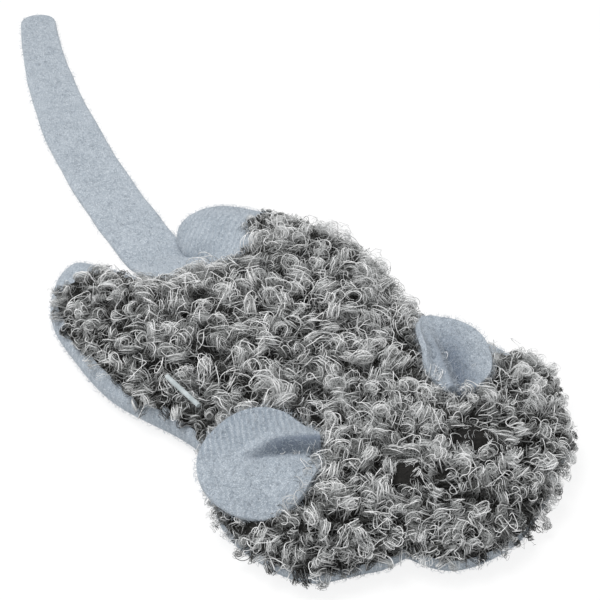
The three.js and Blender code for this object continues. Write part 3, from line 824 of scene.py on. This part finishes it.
def makeKnots():
    corners = [tuple(p.vertices) for p in plush.data.polygons]
    skin = BVHTree.FromPolygons([v.co for v in plush.data.vertices], corners)
    columns, rows = tuftShape["columns"], tuftShape["rows"]
    tops = np.array([
        tuftTop(column, row) for row in range(-rows, rows + 1) for column in range(-columns, columns + 1)])
    tops = tops[inside(tops, outline)]
    tops = tops[edgeDistance(tops) > tuftShape["clear"]]
    rim = [(outline + inward * depth)[first::tuftShape["rimStride"]] for depth, first in tuftShape["rims"]]
    roots = []
    for ear in earSides.values():
        root, hinge, reach = earFrame(ear)
        back = reach * tuftShape["rootBack"]
        roots += [(root + hinge * across - back)[:2] for across in tuftShape["rootAcross"]]
    spots, normals = [], []
    for x, y in np.vstack([tops, *rim, roots]):
        spot, normal = skin.ray_cast(Vector((x, y, 60)) * mm, Vector((0, 0, -1)))[:2]
        if spot:
            spots.append(spot)
            normals.append(tuple(normal))
    piece = addMesh("tuftKnots", spots, [], 1)
    addValues(piece, "knotNormal", np.array(normals))
    return piece


knots = makeKnots()
print(len(knots.data.vertices), "tufts")


# an empty tree with its named inputs
def newTree(name, floats, numbers=(), objects=()):
    tree = bpy.data.node_groups.new(name, "GeometryNodeTree")
    tree.interface.new_socket("Geometry", in_out="INPUT", socket_type="NodeSocketGeometry")
    inputs = {"Float": floats, "Int": numbers, "Object": objects, "Material": ("Material",)}
    for kind, labels in inputs.items():
        for label in labels:
            tree.interface.new_socket(label, in_out="INPUT", socket_type="NodeSocket" + kind)
    tree.interface.new_socket("Geometry", in_out="OUTPUT", socket_type="NodeSocketGeometry")
    return tree, tree.nodes.new("NodeGroupInput").outputs


def closeTree(tree, given, made):
    made = geo(tree, "RealizeInstances", {0: made})[0]
    made = geo(tree, "SetMaterial", {"Geometry": made, "Material": given["Material"]})[0]
    tree.links.new(made, tree.nodes.new("NodeGroupOutput").inputs[0])
    return tree


def named(tree, label, kind="FLOAT_VECTOR"):
    return geo(tree, "InputNamedAttribute", {"Name": label}, data_type=kind)[0]


def store(tree, geometry, values, kind="FLOAT_VECTOR", domain="POINT"):
    for label, value in values.items():
        geometry = geo(tree, "StoreNamedAttribute", {
            "Geometry": geometry, "Name": label, "Value": value}, data_type=kind, domain=domain)[0]
    return geometry


def chance(tree, low, high, seed, owner=None):
    inputs = {2: low, 3: high, "Seed": seed, **({"ID": owner} if owner else {})}
    return addNode(tree, "FunctionNodeRandomValue", inputs, data_type="FLOAT").outputs[1]


def chanceVector(tree, seed, owner=None):
    inputs = {0: (-1, -1, -1), 1: (1, 1, 1), "Seed": seed, **({"ID": owner} if owner else {})}
    return addNode(tree, "FunctionNodeRandomValue", inputs, data_type="FLOAT_VECTOR").outputs[0]


# a strand's or flake's own chance, by a number on top of the seed
def ownChance(tree, given, low, high, number):
    return chance(tree, low, high, maths(tree, "ADD", given["Seed"], number))


def scatterOver(tree, given, density):
    return geo(tree, "DistributePointsOnFaces", {
        "Mesh": given["Geometry"], "Density": density, "Seed": given["Seed"]}, distribute_method="RANDOM")


# a straight line of a few points on every root, to be bent afterwards
def sproutLines(tree, roots, count):
    line = geo(tree, "ResampleCurve", {"Curve": geo(tree, "CurvePrimitiveLine")[0], "Count": count})[0]
    made = geo(tree, "InstanceOnPoints", {"Points": roots, "Instance": line})[0]
    return geo(tree, "RealizeInstances", {0: made})[0], geo(tree, "SplineParameter")["Factor"]


# the lines bent to their places over the floor, as three-sided tubes with a map of height and shade; the
# material paints shade where the height is low
def closeStrands(tree, given, lines, spot, along, height, shade, taper):
    add, less, times = sums(tree, "ADD", "SUBTRACT", "MULTIPLY")
    bands = 48.0
    spot = vectors(tree, "MAXIMUM", spot, (-1.0, -1.0, 0.00015))
    lines = geo(tree, "SetPosition", {"Geometry": lines, "Position": spot})[0]
    lines = store(tree, lines, {"height": height}, "FLOAT")
    profile = geo(tree, "CurvePrimitiveCircle", {"Resolution": 3, "Radius": 1.0})[0]
    profile = store(tree, profile, {"around": geo(tree, "InputIndex")[0]}, "FLOAT")
    width = times(given["Strand Radius"], less(1.0, times(along, taper)))
    tubes = geo(tree, "CurveToMesh", {
        "Curve": lines, "Profile Curve": profile, "Scale": width, "Fill Caps": True})[0]
    band = maths(tree, "FLOOR", times(shade, bands - 0.01))
    across = add(add(band, 0.2), times(named(tree, "around", "FLOAT"), 0.3))
    level = maths(tree, "MULTIPLY_ADD", named(tree, "height", "FLOAT"), 0.98, 0.01)
    place = triple(tree, level, maths(tree, "DIVIDE", across, bands), 0.0)
    return closeTree(tree, given, store(tree, tubes, {"OFBake": place}, "FLOAT2", "CORNER"))


# Curly pile: a tuft has a few locks, the strands of a lock wind round one ring, and some go their own way
def curlTree():
    tree, given = newTree("pileCurls", (
        "Strand Density", "Curl Radius", "Radius Spread", "Turns", "Loft", "Gather", "Lock Offset", "Tilt",
        "Stray", "Start", "Start Spread", "Phase Spread", "Axial Spread", "Tighten", "Loners",
        "Strand Radius", "Wave", "Wave Scale", "Frizz", "Frizz Scale", "Shade Mix", "Tall", "Sweep",
        "Front", "Back"), ("Locks", "Points", "Lock Seed", "Seed"), ("Knots",))
    add, less, times, over = sums(tree, "ADD", "SUBTRACT", "MULTIPLY", "DIVIDE")
    sine, cosine, below = sums(tree, "SINE", "COSINE", "LESS_THAN")
    plus, minus, scaled = vectorSums(tree, "ADD", "SUBTRACT", "SCALE")
    unit, cross, dot = vectorSums(tree, "NORMALIZE", "CROSS_PRODUCT", "DOT_PRODUCT")
    own = partial(ownChance, tree, given)

    def value(label):
        return named(tree, label, "FLOAT")

    knotPoints = geo(tree, "ObjectInfo", {"Object": given["Knots"]})["Geometry"]
    roots = scatterOver(tree, given, times(given["Strand Density"], value("thick")))["Points"]
    place = geo(tree, "InputPosition")[0]
    nearest = geo(tree, "SampleNearest", {"Geometry": knotPoints}, domain="POINT")[0]

    def ofKnot(field):
        return geo(tree, "SampleIndex", {"Geometry": knotPoints, "Value": field, "Index": nearest},
                   data_type="FLOAT_VECTOR", domain="POINT")[0]

    knotAt, knotUp = ofKnot(place), ofKnot(named(tree, "knotNormal"))
    room = value("pile")
    # strands with the same lock number share the ring's plane, size, start and shade
    turnStep = maths(tree, "FLOOR", own(0.0, given["Locks"], 1))
    alone = below(own(0.0, 1.0, 2), given["Loners"])
    index = geo(tree, "InputIndex")[0]
    lock = add(add(times(nearest, 8.0), turnStep), times(alone, add(times(index, 8.0), 100000.0)))

    def shared(low, high, number):
        return chance(tree, low, high, add(given["Lock Seed"], number), lock)

    # a ring stands upright on the skin and leans by the tilt
    lean = chanceVector(tree, add(given["Lock Seed"], 11), lock)
    flat = minus(lean, scaled(knotUp, dot(lean, knotUp)))
    lean = scaled(knotUp, times(shared(-1.0, 1.0, 28), given["Tilt"]))
    stray = scaled(chanceVector(tree, add(given["Seed"], 12)), given["Stray"])
    axis = unit(plus(plus(unit(flat), lean), stray))
    # locks of a tuft stand round its middle
    ofTuft = chance(tree, 0.0, 3.0, add(given["Lock Seed"], 29), nearest)
    swing = times(over(add(turnStep, add(shared(-0.3, 0.3, 25), ofTuft)), given["Locks"]), fullTurn)
    sideA = unit(cross(knotUp, (0.1, 1.0, 0.2)))
    sideB = cross(knotUp, sideA)
    away = shared(0.55, 1.15, 30)
    aside = plus(scaled(sideA, cosine(swing)), scaled(sideB, sine(swing)))
    height = shared(0.0, 1.0, 13)
    share = less(add(0.45, times(height, 0.85)), times(times(away, away), 0.2))
    centre = plus(knotAt, scaled(knotUp, times(times(given["Loft"], room), share)))
    centre = plus(centre, scaled(minus(place, knotAt), given["Gather"]))
    centre = plus(centre, scaled(scaled(aside, away), given["Lock Offset"]))
    # the pile of the cheek and snout hangs over the rim
    centre = plus(centre, triple(tree, 0.0, 0.0, times(value("sag"), -1.0)))
    # where the pile has little room, a curl is small and keeps to its place
    fit = maths(tree, "POWER", room, 0.7)
    spread = maths(tree, "MULTIPLY_ADD", own(-1.0, 1.0, 15), given["Radius Spread"], 1.0)
    radius = times(times(given["Curl Radius"], fit), times(shared(0.55, 1.35, 14), spread))
    radius = times(radius, value("curl"))
    fit = maths(tree, "MINIMUM", fit, 1.0)
    phase = add(given["Start"], times(shared(-0.5, 0.5, 18), given["Start Spread"]))
    phase = add(phase, times(add(own(-0.5, 0.5, 16), own(-0.5, 0.5, 17)), given["Phase Spread"]))
    turn = times(given["Turns"], times(shared(0.65, 1.35, 20), times(own(0.7, 1.2, 26), fullTurn)))
    shift = times(add(own(-0.5, 0.5, 21), own(-0.5, 0.5, 27)), times(given["Axial Spread"], fit))
    climb = times(shared(-0.7, 0.7, 22), times(given["Curl Radius"], fit))
    # a lock's shade follows its height, so low locks are darker: partly the darker base fibres' own tone,
    # partly painted shade deep in the pile, mixed with each strand's own tone
    shade = add(times(height, given["Shade Mix"]), times(own(0.0, 1.0, 24), less(1.0, given["Shade Mix"])))
    knotY = split(tree, knotAt)["Y"]
    outside = maths(tree, "MAXIMUM", below(knotY, given["Front"]), less(1.0, below(knotY, given["Back"])))
    points = store(tree, roots, {
        "rootAt": place, "centre": centre, "axis": axis, "up": knotUp,
        "swirl": triple(tree, radius, phase, turn), "shift": triple(tree, shift, climb, shade)})
    # the height that a strand's height share counts up to, for the painted shade low in the pile
    tall = times(times(given["Tall"], room), value("curl"))
    points = store(tree, points, {"tall": tall, "fit": fit}, "FLOAT")
    points = geo(tree, "DeleteGeometry", {0: points, 1: outside}, domain="POINT")[0]
    lines, along = sproutLines(tree, points, given["Points"])

    start, spin, up = (named(tree, label) for label in ("rootAt", "axis", "up"))
    swirl, shifts = split(tree, named(tree, "swirl")), split(tree, named(tree, "shift"))
    sideways = unit(cross(spin, up))
    upward = cross(sideways, spin)
    angle = add(swirl["Y"], times(swirl["Z"], along))
    reach = times(swirl["X"], less(1.0, times(times(along, along), given["Tighten"])))
    ring = plus(scaled(sideways, times(times(reach, given["Sweep"]), cosine(angle))),
                scaled(upward, times(reach, sine(angle))))
    ring = plus(ring, scaled(spin, add(shifts["X"], times(shifts["Y"], along))))
    ring = plus(ring, named(tree, "centre"))
    seat = plus(ring, scaled(start, 3.0))
    for label in ("Wave", "Frizz"):
        waver = shaderNode(tree, "TexNoise", {
            "Vector": seat, "Scale": given[label + " Scale"], "Detail": 0.0})["Color"]
        ring = plus(ring, scaled(minus(waver, (0.5, 0.5, 0.5)), times(given[label], value("fit"))))
    rise = shaderNode(tree, "MapRange", {0: along, 1: 0.0, 2: 0.24, 3: 0.0, 4: 1.0},
                      interpolation_type="SMOOTHSTEP")[0]
    spot = plus(start, scaled(minus(ring, start), rise))
    # the strand's height share over its root, which the material darkens low down as painted shade
    stand = shaderNode(tree, "Clamp", {0: over(dot(minus(spot, start), up), value("tall"))})[0]
    return closeStrands(tree, given, lines, spot, along, stand, shifts["Z"], 0.45)


# Fleece nap: short bent fibres that stand out of a piece's surface
def napTree():
    tree, given = newTree("fleeceNap", ("Density", "Length", "Strand Radius"), ("Points", "Seed"))
    add, less, times = sums(tree, "ADD", "SUBTRACT", "MULTIPLY")
    plus, scaled, unit, cross = vectorSums(tree, "ADD", "SCALE", "NORMALIZE", "CROSS_PRODUCT")
    own = partial(ownChance, tree, given)
    roots = scatterOver(tree, given, given["Density"])
    aside = unit(cross(roots["Normal"], chanceVector(tree, add(given["Seed"], 1))))
    size = times(given["Length"], own(0.6, 1.3, 2))
    points = store(tree, roots["Points"], {
        "rootAt": geo(tree, "InputPosition")[0], "up": scaled(roots["Normal"], size),
        "aside": scaled(aside, size), "bend": triple(tree, own(0.9, 1.9, 3), own(0.0, 1.0, 4), 0.0)})
    lines, along = sproutLines(tree, points, given["Points"])
    bend = split(tree, named(tree, "bend"))
    angle = times(bend["X"], along)
    stand = scaled(named(tree, "up"), times(maths(tree, "SINE", angle), 0.6))
    fall = scaled(named(tree, "aside"), less(1.0, maths(tree, "COSINE", angle)))
    spot = plus(named(tree, "rootAt"), plus(stand, fall))
    # a nap fibre's map counts along it in place of height, for a little painted shade at its root
    return closeStrands(tree, given, lines, spot, along, along, bend["Y"], 0.5)


# point values that a finished piece no longer needs
helperValues = ("rootAt", "centre", "axis", "swirl", "shift", "height", "around", "pile", "thick", "curl",
                "sag", "tall", "fit", "up", "aside", "bend", "rib")


def growStrands(tree, name, base, values):
    piece = bpy.data.objects.new(name, base.data.copy())
    scene.collection.objects.link(piece)
    grow = piece.modifiers.new("strands", "NODES")
    grow.node_group = tree
    for item in tree.interface.items_tree:
        if item.in_out == "INPUT" and item.name in values:
            grow[item.identifier] = values[item.name]
    settle(piece)
    for label in [a.name for a in piece.data.attributes if a.name in helperValues]:
        piece.data.attributes.remove(piece.data.attributes[label])
    print(name, sum(len(p.vertices) - 2 for p in piece.data.polygons), "triangles")
    return piece


curlZones = [  # from the snout to the rump, by the place of the knots
    ("Snout", -70, -43), ("Face", -43, -33), ("Ears", -33, -22), ("Shoulders", -22, -9),
    ("Waist", -9, 6), ("Flanks", 6, 18), ("Hips", 18, 30), ("Rump", 30, 43), ("Lobes", 43, 70),
]
fineFibre = {
    "Strand Density": 2.9e6, "Curl Radius": 0.00138, "Radius Spread": 0.25, "Turns": 1.02, "Loft": 0.0028,
    "Gather": 0.2, "Lock Offset": 0.0027, "Tilt": 1.0, "Stray": 0.2, "Start": -1.9, "Start Spread": 1.2,
    "Phase Spread": 0.9, "Axial Spread": 0.0014, "Tighten": 0.5, "Loners": 0.09, "Strand Radius": 0.000045,
    "Wave": 0.001, "Wave Scale": 350.0, "Frizz": 0.0003, "Frizz Scale": 1400.0, "Shade Mix": 0.75,
    "Tall": 0.0043, "Sweep": 1.35, "Locks": 5, "Points": 8, "Lock Seed": 7, "Seed": 100, "Knots": knots,
    "Material": greyFibre,
}
longStrand = {
    **fineFibre, "Strand Density": 4.6e5, "Curl Radius": 0.00148, "Radius Spread": 0.28, "Turns": 1.12,
    "Loft": 0.0031, "Stray": 0.14, "Phase Spread": 0.8, "Loners": 0.18, "Strand Radius": 0.00012,
    "Wave Scale": 300.0, "Frizz": 0.0, "Shade Mix": 0.6, "Points": 13, "Seed": 300, "Material": whiteStrand,
}
looseStrand = {  # lie over the tufts from one to the next
    **longStrand, "Strand Density": 1.0e5, "Curl Radius": 0.0022, "Radius Spread": 0.4, "Turns": 0.6,
    "Loft": 0.0035, "Gather": 0.5, "Tilt": 2.2, "Start Spread": fullTurn, "Loners": 0.5, "Wave": 0.0018,
    "Seed": 700, "Front": -0.07, "Back": 0.07,
}
curls = curlTree()
pilePieces = []
for label, front, back in curlZones:
    span = {"Front": front * mm, "Back": back * mm}
    for kind, values in (("fine", fineFibre), ("long", longStrand)):
        pilePieces.append(growStrands(curls, kind + "Curls" + label, plush, {**values, **span}))
pilePieces.append(growStrands(curls, "looseCurls", plush, looseStrand))
bpy.data.objects.remove(knots)
# the backing gets its thickness once the pile stands on it
solid = plush.modifiers.new("thickness", "SOLIDIFY")
solid.thickness, solid.offset = pileShape["backing"] * mm, -1
settle(plush)
print("pile grown")

napFibre = {"Density": 3.2e6, "Length": 0.0011, "Strand Radius": 0.000032, "Points": 4, "Seed": 500,
            "Material": fleeceFibre, "rimDepth": 2.6}


# the fleece that shows round the plush: the bare patches and the rim down to the floor
def makeBare():
    upper = [f for f in planFaces if not all(covered[i] for i in f)]
    lower = [f[::-1] for f in planFaces if all(planDepth[i] < napFibre["rimDepth"] for i in f)]
    faces = upper + [tuple(i + len(plan) for i in f) for f in lower]
    return addMesh("bareFleece", np.vstack([np.c_[plan, backZ], np.c_[plan, bellyZ]]), faces)


nap = napTree()
bare = makeBare()
napPieces = {
    "right_ear": growStrands(nap, "rightEarNap", ears["right_ear"], napFibre),
    "left_ear": growStrands(nap, "leftEarNap", ears["left_ear"], {**napFibre, "Seed": 510}),
    "tail": growStrands(nap, "tailNap", tail, {**napFibre, "Density": 1.2e6, "Seed": 520}),
    "belly": growStrands(nap, "bellyNap", bare, {
        **napFibre, "Density": 1.4e6, "Length": 0.0009, "Seed": 530}),
}
bpy.data.objects.remove(bare)
print("nap grown")

# Stitches at the roots of the ears and tail: short bowed threads one after another along a line
stitchShape = {"Pitch": 0.0021, "Length": 0.0017, "Bow": 0.0003, "Thread Radius": 0.0002,
               "Material": paleThread, "earOut": 0.9, "earHalf": 4.0, "tailBack": 2.2, "tailHalf": 5.6,
               "count": 9}


def stitchTree():
    tree, given = newTree("rootStitches", ("Pitch", "Length", "Bow", "Thread Radius"))
    times = partial(maths, tree, "MULTIPLY")
    path = geo(tree, "MeshToCurve", {"Mesh": given["Geometry"]})[0]
    spots = geo(tree, "CurveToPoints", {"Curve": path, "Length": given["Pitch"]}, mode="LENGTH")
    turn = addNode(tree, "FunctionNodeAxesToRotation", {0: spots["Tangent"], 1: (0, 0, 1)},
                   primary_axis="Z", secondary_axis="X").outputs[0]
    halfLength = times(given["Length"], 0.5)
    line = geo(tree, "CurveQuadraticBezier", {
        "Resolution": 5, "Start": triple(tree, 0.0, 0.0, times(halfLength, -1.0)),
        "Middle": triple(tree, times(given["Bow"], 2.0), 0.0, 0.0),
        "End": triple(tree, 0.0, 0.0, halfLength)})[0]
    profile = geo(tree, "CurvePrimitiveCircle", {"Resolution": 6, "Radius": given["Thread Radius"]})[0]
    stitch = geo(tree, "CurveToMesh", {"Curve": line, "Profile Curve": profile, "Fill Caps": True})[0]
    return closeTree(tree, given, geo(tree, "InstanceOnPoints", {
        "Points": spots["Points"], "Instance": stitch, "Rotation": turn})[0])


def sewAlong(name, points):
    line = bpy.data.objects.new("seamLine", bpy.data.meshes.new("seamLine"))
    line.data.from_pydata([tuple(p * mm) for p in points], [(i, i + 1) for i in range(len(points) - 1)], [])
    piece = growStrands(stitches, name, line, stitchShape)
    bpy.data.objects.remove(line)
    return piece


def earSeam(ear):
    root, hinge, reach = earFrame(ear)
    half, out = stitchShape["earHalf"], stitchShape["earOut"]
    line = []
    for across in np.linspace(-half, half, stitchShape["count"]):
        share, height = earLay(ear, across, out)
        top = np.array([0, 0, height + earShape["thickness"] / 2])
        line.append(root + hinge * across * share + reach * out + top)
    return line


def tailSeam():
    half, back = stitchShape["tailHalf"], stitchShape["tailBack"]
    z = tailShape["axisZ"] + tailShape["tuckRise"] * float(smooth(back / tailShape["tuck"]))
    y, z = tailShape["path"][0][1] - back, z + tailShape["thickness"] / 2
    return [np.array([x, y, z]) for x in np.linspace(-half, half, stitchShape["count"])]


stitches = stitchTree()
sewn = {
    "right_ear_stitching": sewAlong("rightEarStitches", earSeam(earSides["right_ear"])),
    "left_ear_stitching": sewAlong("leftEarStitches", earSeam(earSides["left_ear"])),
    "tail_stitching": sewAlong("tailStitches", tailSeam()),
}
print("roots sewn")

# Eyes: round pads of black satin stitch
eyeShape = {"rings": 10, "sides": 40, "ridge": 0.08, "ridgeStep": 0.55, "base": 0.6}


def makeEye(name, node):
    low, high = (np.array(c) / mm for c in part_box(node))
    x, y = ((low + high) / 2)[:2]
    radius, rise = (high[0] - low[0]) / 2, high[2] - low[2]
    points, faces = [(x, y, high[2])], []
    rings, sides = eyeShape["rings"], eyeShape["sides"]
    for j in range(1, rings + 1):
        turn = math.pi / 2 * j / rings
        out = radius * math.sin(turn)
        for i in range(sides):
            swing = 2 * math.pi * i / sides
            thread = math.cos(2 * math.pi * out * math.sin(swing) / eyeShape["ridgeStep"])
            z = low[2] + rise * math.cos(turn) + eyeShape["ridge"] * thread * math.cos(turn)
            points.append((x + out * math.cos(swing), y + out * math.sin(swing), z))
    base, last = len(points), 1 + (rings - 1) * sides
    points.append((x, y, low[2] - eyeShape["base"]))
    for i in range(sides):
        n = (i + 1) % sides
        faces.append((0, 1 + i, 1 + n))
        for a in range(1, last, sides):
            faces.append((a + i, a + sides + i, a + sides + n, a + n))
        faces.append((last + n, last + i, base))
    piece = addMesh(name, points, faces)
    piece.data.materials.append(eyeThread)
    return piece


eyes = {"right_eye": makeEye("rightEyePad", "right_eye"), "left_eye": makeEye("leftEyePad", "left_eye")}

# Filling inside the cover
fillingShape = {"inset": 3.4, "under": 1.6, "over": 1.8, "drawn": 1.2, "topLump": 0.3, "baseLump": 0.2}


def makeFilling():
    shape = fillingShape
    used, top = planPart(planDepth > shape["inset"])
    spots, depth, count = plan[used], planDepth[used], len(used)
    lump = lumps(spots, 5, 4.4)
    upper = backFace(depth) - shape["under"] + shape["topLump"] * lump
    lower = bellyFace(depth - shape["drawn"]) + shape["over"] - shape["baseLump"] * lump
    sides = {(a, b): True for f in top for a, b in zip(f, f[1:] + f[:1])}
    shell = top + [tuple(i + count for i in f[::-1]) for f in top]
    shell += [(b, a, a + count, b + count) for a, b in sides if (b, a) not in sides]
    piece = addMesh("fibreFilling", np.vstack([np.c_[spots, upper], np.c_[spots, lower]]), shell)
    piece.data.materials.append(looseFibre)
    return piece


filling = makeFilling()

# Dried leaf: thin crumbled flakes, scattered through the pocket that CAD has for them
leafShape = {"Density": 3.6e5, "Flake Size": 0.0019, "Size Spread": 0.4, "Tilt": 0.6, "Seed": 900,
             "Material": driedLeaf}
flakeShape = {"corners": 7, "narrow": 0.55, "dome": 0.22, "thick": 0.1, "jag": 0.2, "curl": 0.12}


def makeFlake():
    count, dome = flakeShape["corners"], flakeShape["dome"]
    points, faces = [(0, 0, dome), (0, 0, dome - flakeShape["thick"])], []
    for i in range(count):
        swing = 2 * math.pi * i / count
        reach = 1 + flakeShape["jag"] * math.sin(5 * swing + 1)
        points.append((reach * math.cos(swing), flakeShape["narrow"] * reach * math.sin(swing),
                       flakeShape["curl"] * math.sin(2 * swing)))
        n = (i + 1) % count
        faces += [(0, 2 + i, 2 + n), (1, 2 + n, 2 + i)]
    return addMesh("leafFlake", points, faces, 1)


def leafTree():
    tree, given = newTree(
        "leafFlakes", ("Density", "Flake Size", "Size Spread", "Tilt"), ("Seed",), ("Flake",))
    times = partial(maths, tree, "MULTIPLY")
    plus, minus, scaled = vectorSums(tree, "ADD", "SUBTRACT", "SCALE")
    own = partial(ownChance, tree, given)
    roots = scatterOver(tree, given, given["Density"])[0]
    place = geo(tree, "InputPosition")[0]
    middle = geo(tree, "AttributeStatistic", {"Geometry": roots, "Attribute": place},
                 data_type="FLOAT_VECTOR")["Mean"]
    inward = maths(tree, "POWER", chance(tree, 0.0, 0.75, given["Seed"]), 0.33)
    spot = plus(middle, scaled(minus(place, middle), inward))
    points = geo(tree, "SetPosition", {"Geometry": roots, "Position": spot})[0]
    flake = geo(tree, "ObjectInfo", {"Object": given["Flake"]})["Geometry"]
    tilts = [times(own(-1.0, 1.0, number), given["Tilt"]) for number in (1, 2)]
    turn = triple(tree, *tilts, own(0.0, fullTurn, 3))
    spread = maths(tree, "MULTIPLY_ADD", own(-1.0, 1.0, 4), given["Size Spread"], 1.0)
    size = times(given["Flake Size"], spread)
    return closeTree(tree, given, geo(tree, "InstanceOnPoints", {
        "Points": points, "Instance": flake, "Rotation": turn, "Scale": size})[0])


flake = makeFlake()
leaf = growStrands(leafTree(), "leafFlakes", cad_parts["catnip_fill"], {**leafShape, "Flake": flake})
bpy.data.objects.remove(flake)
print("inside made")

# Which CAD body each piece rides on, and which node and slot it stands for
bodyPieces = [
    (belly, "fleece_base_panel", "fleece"), (napPieces["belly"], "fleece_base_panel", "fleece"),
    (plush, "curly_top_panel", "curly_plush"), (filling, "fibre_filling", "filling"),
    (leaf, "catnip_fill", "dried_leaf"),
]
bodyPieces += [(piece, "curly_top_panel", "curly_plush") for piece in pilePieces]
bodyPieces += [(piece, node, "eye_black") for node, piece in eyes.items()]
bodyPieces += [(piece, node, "thread") for node, piece in sewn.items()]
for piece, node, slot in bodyPieces:
    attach(piece, "body")
    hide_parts(node)
for name, ear in ears.items():
    root, hinge, reach = earFrame(earSides[name])
    for piece in (ear, napPieces[name]):
        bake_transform(piece, "body", name, start=tuple((root - reach * 0.5) * mm),
                 end=tuple((root + reach * 4) * mm))
        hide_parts(name)
for piece in (tail, napPieces["tail"]):
    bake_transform(piece, "body", "tail", start=(0, 0.0436, 0.0046), end=(0, 0.0536, 0.0046))
    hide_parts("tail")
for node, look in (("rim_seam_thread", paleThread), ("closing_stitch", paleThread), ("tag_pin", pinPlastic)):
    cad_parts[node].data.materials.clear()
    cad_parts[node].data.materials.append(look)
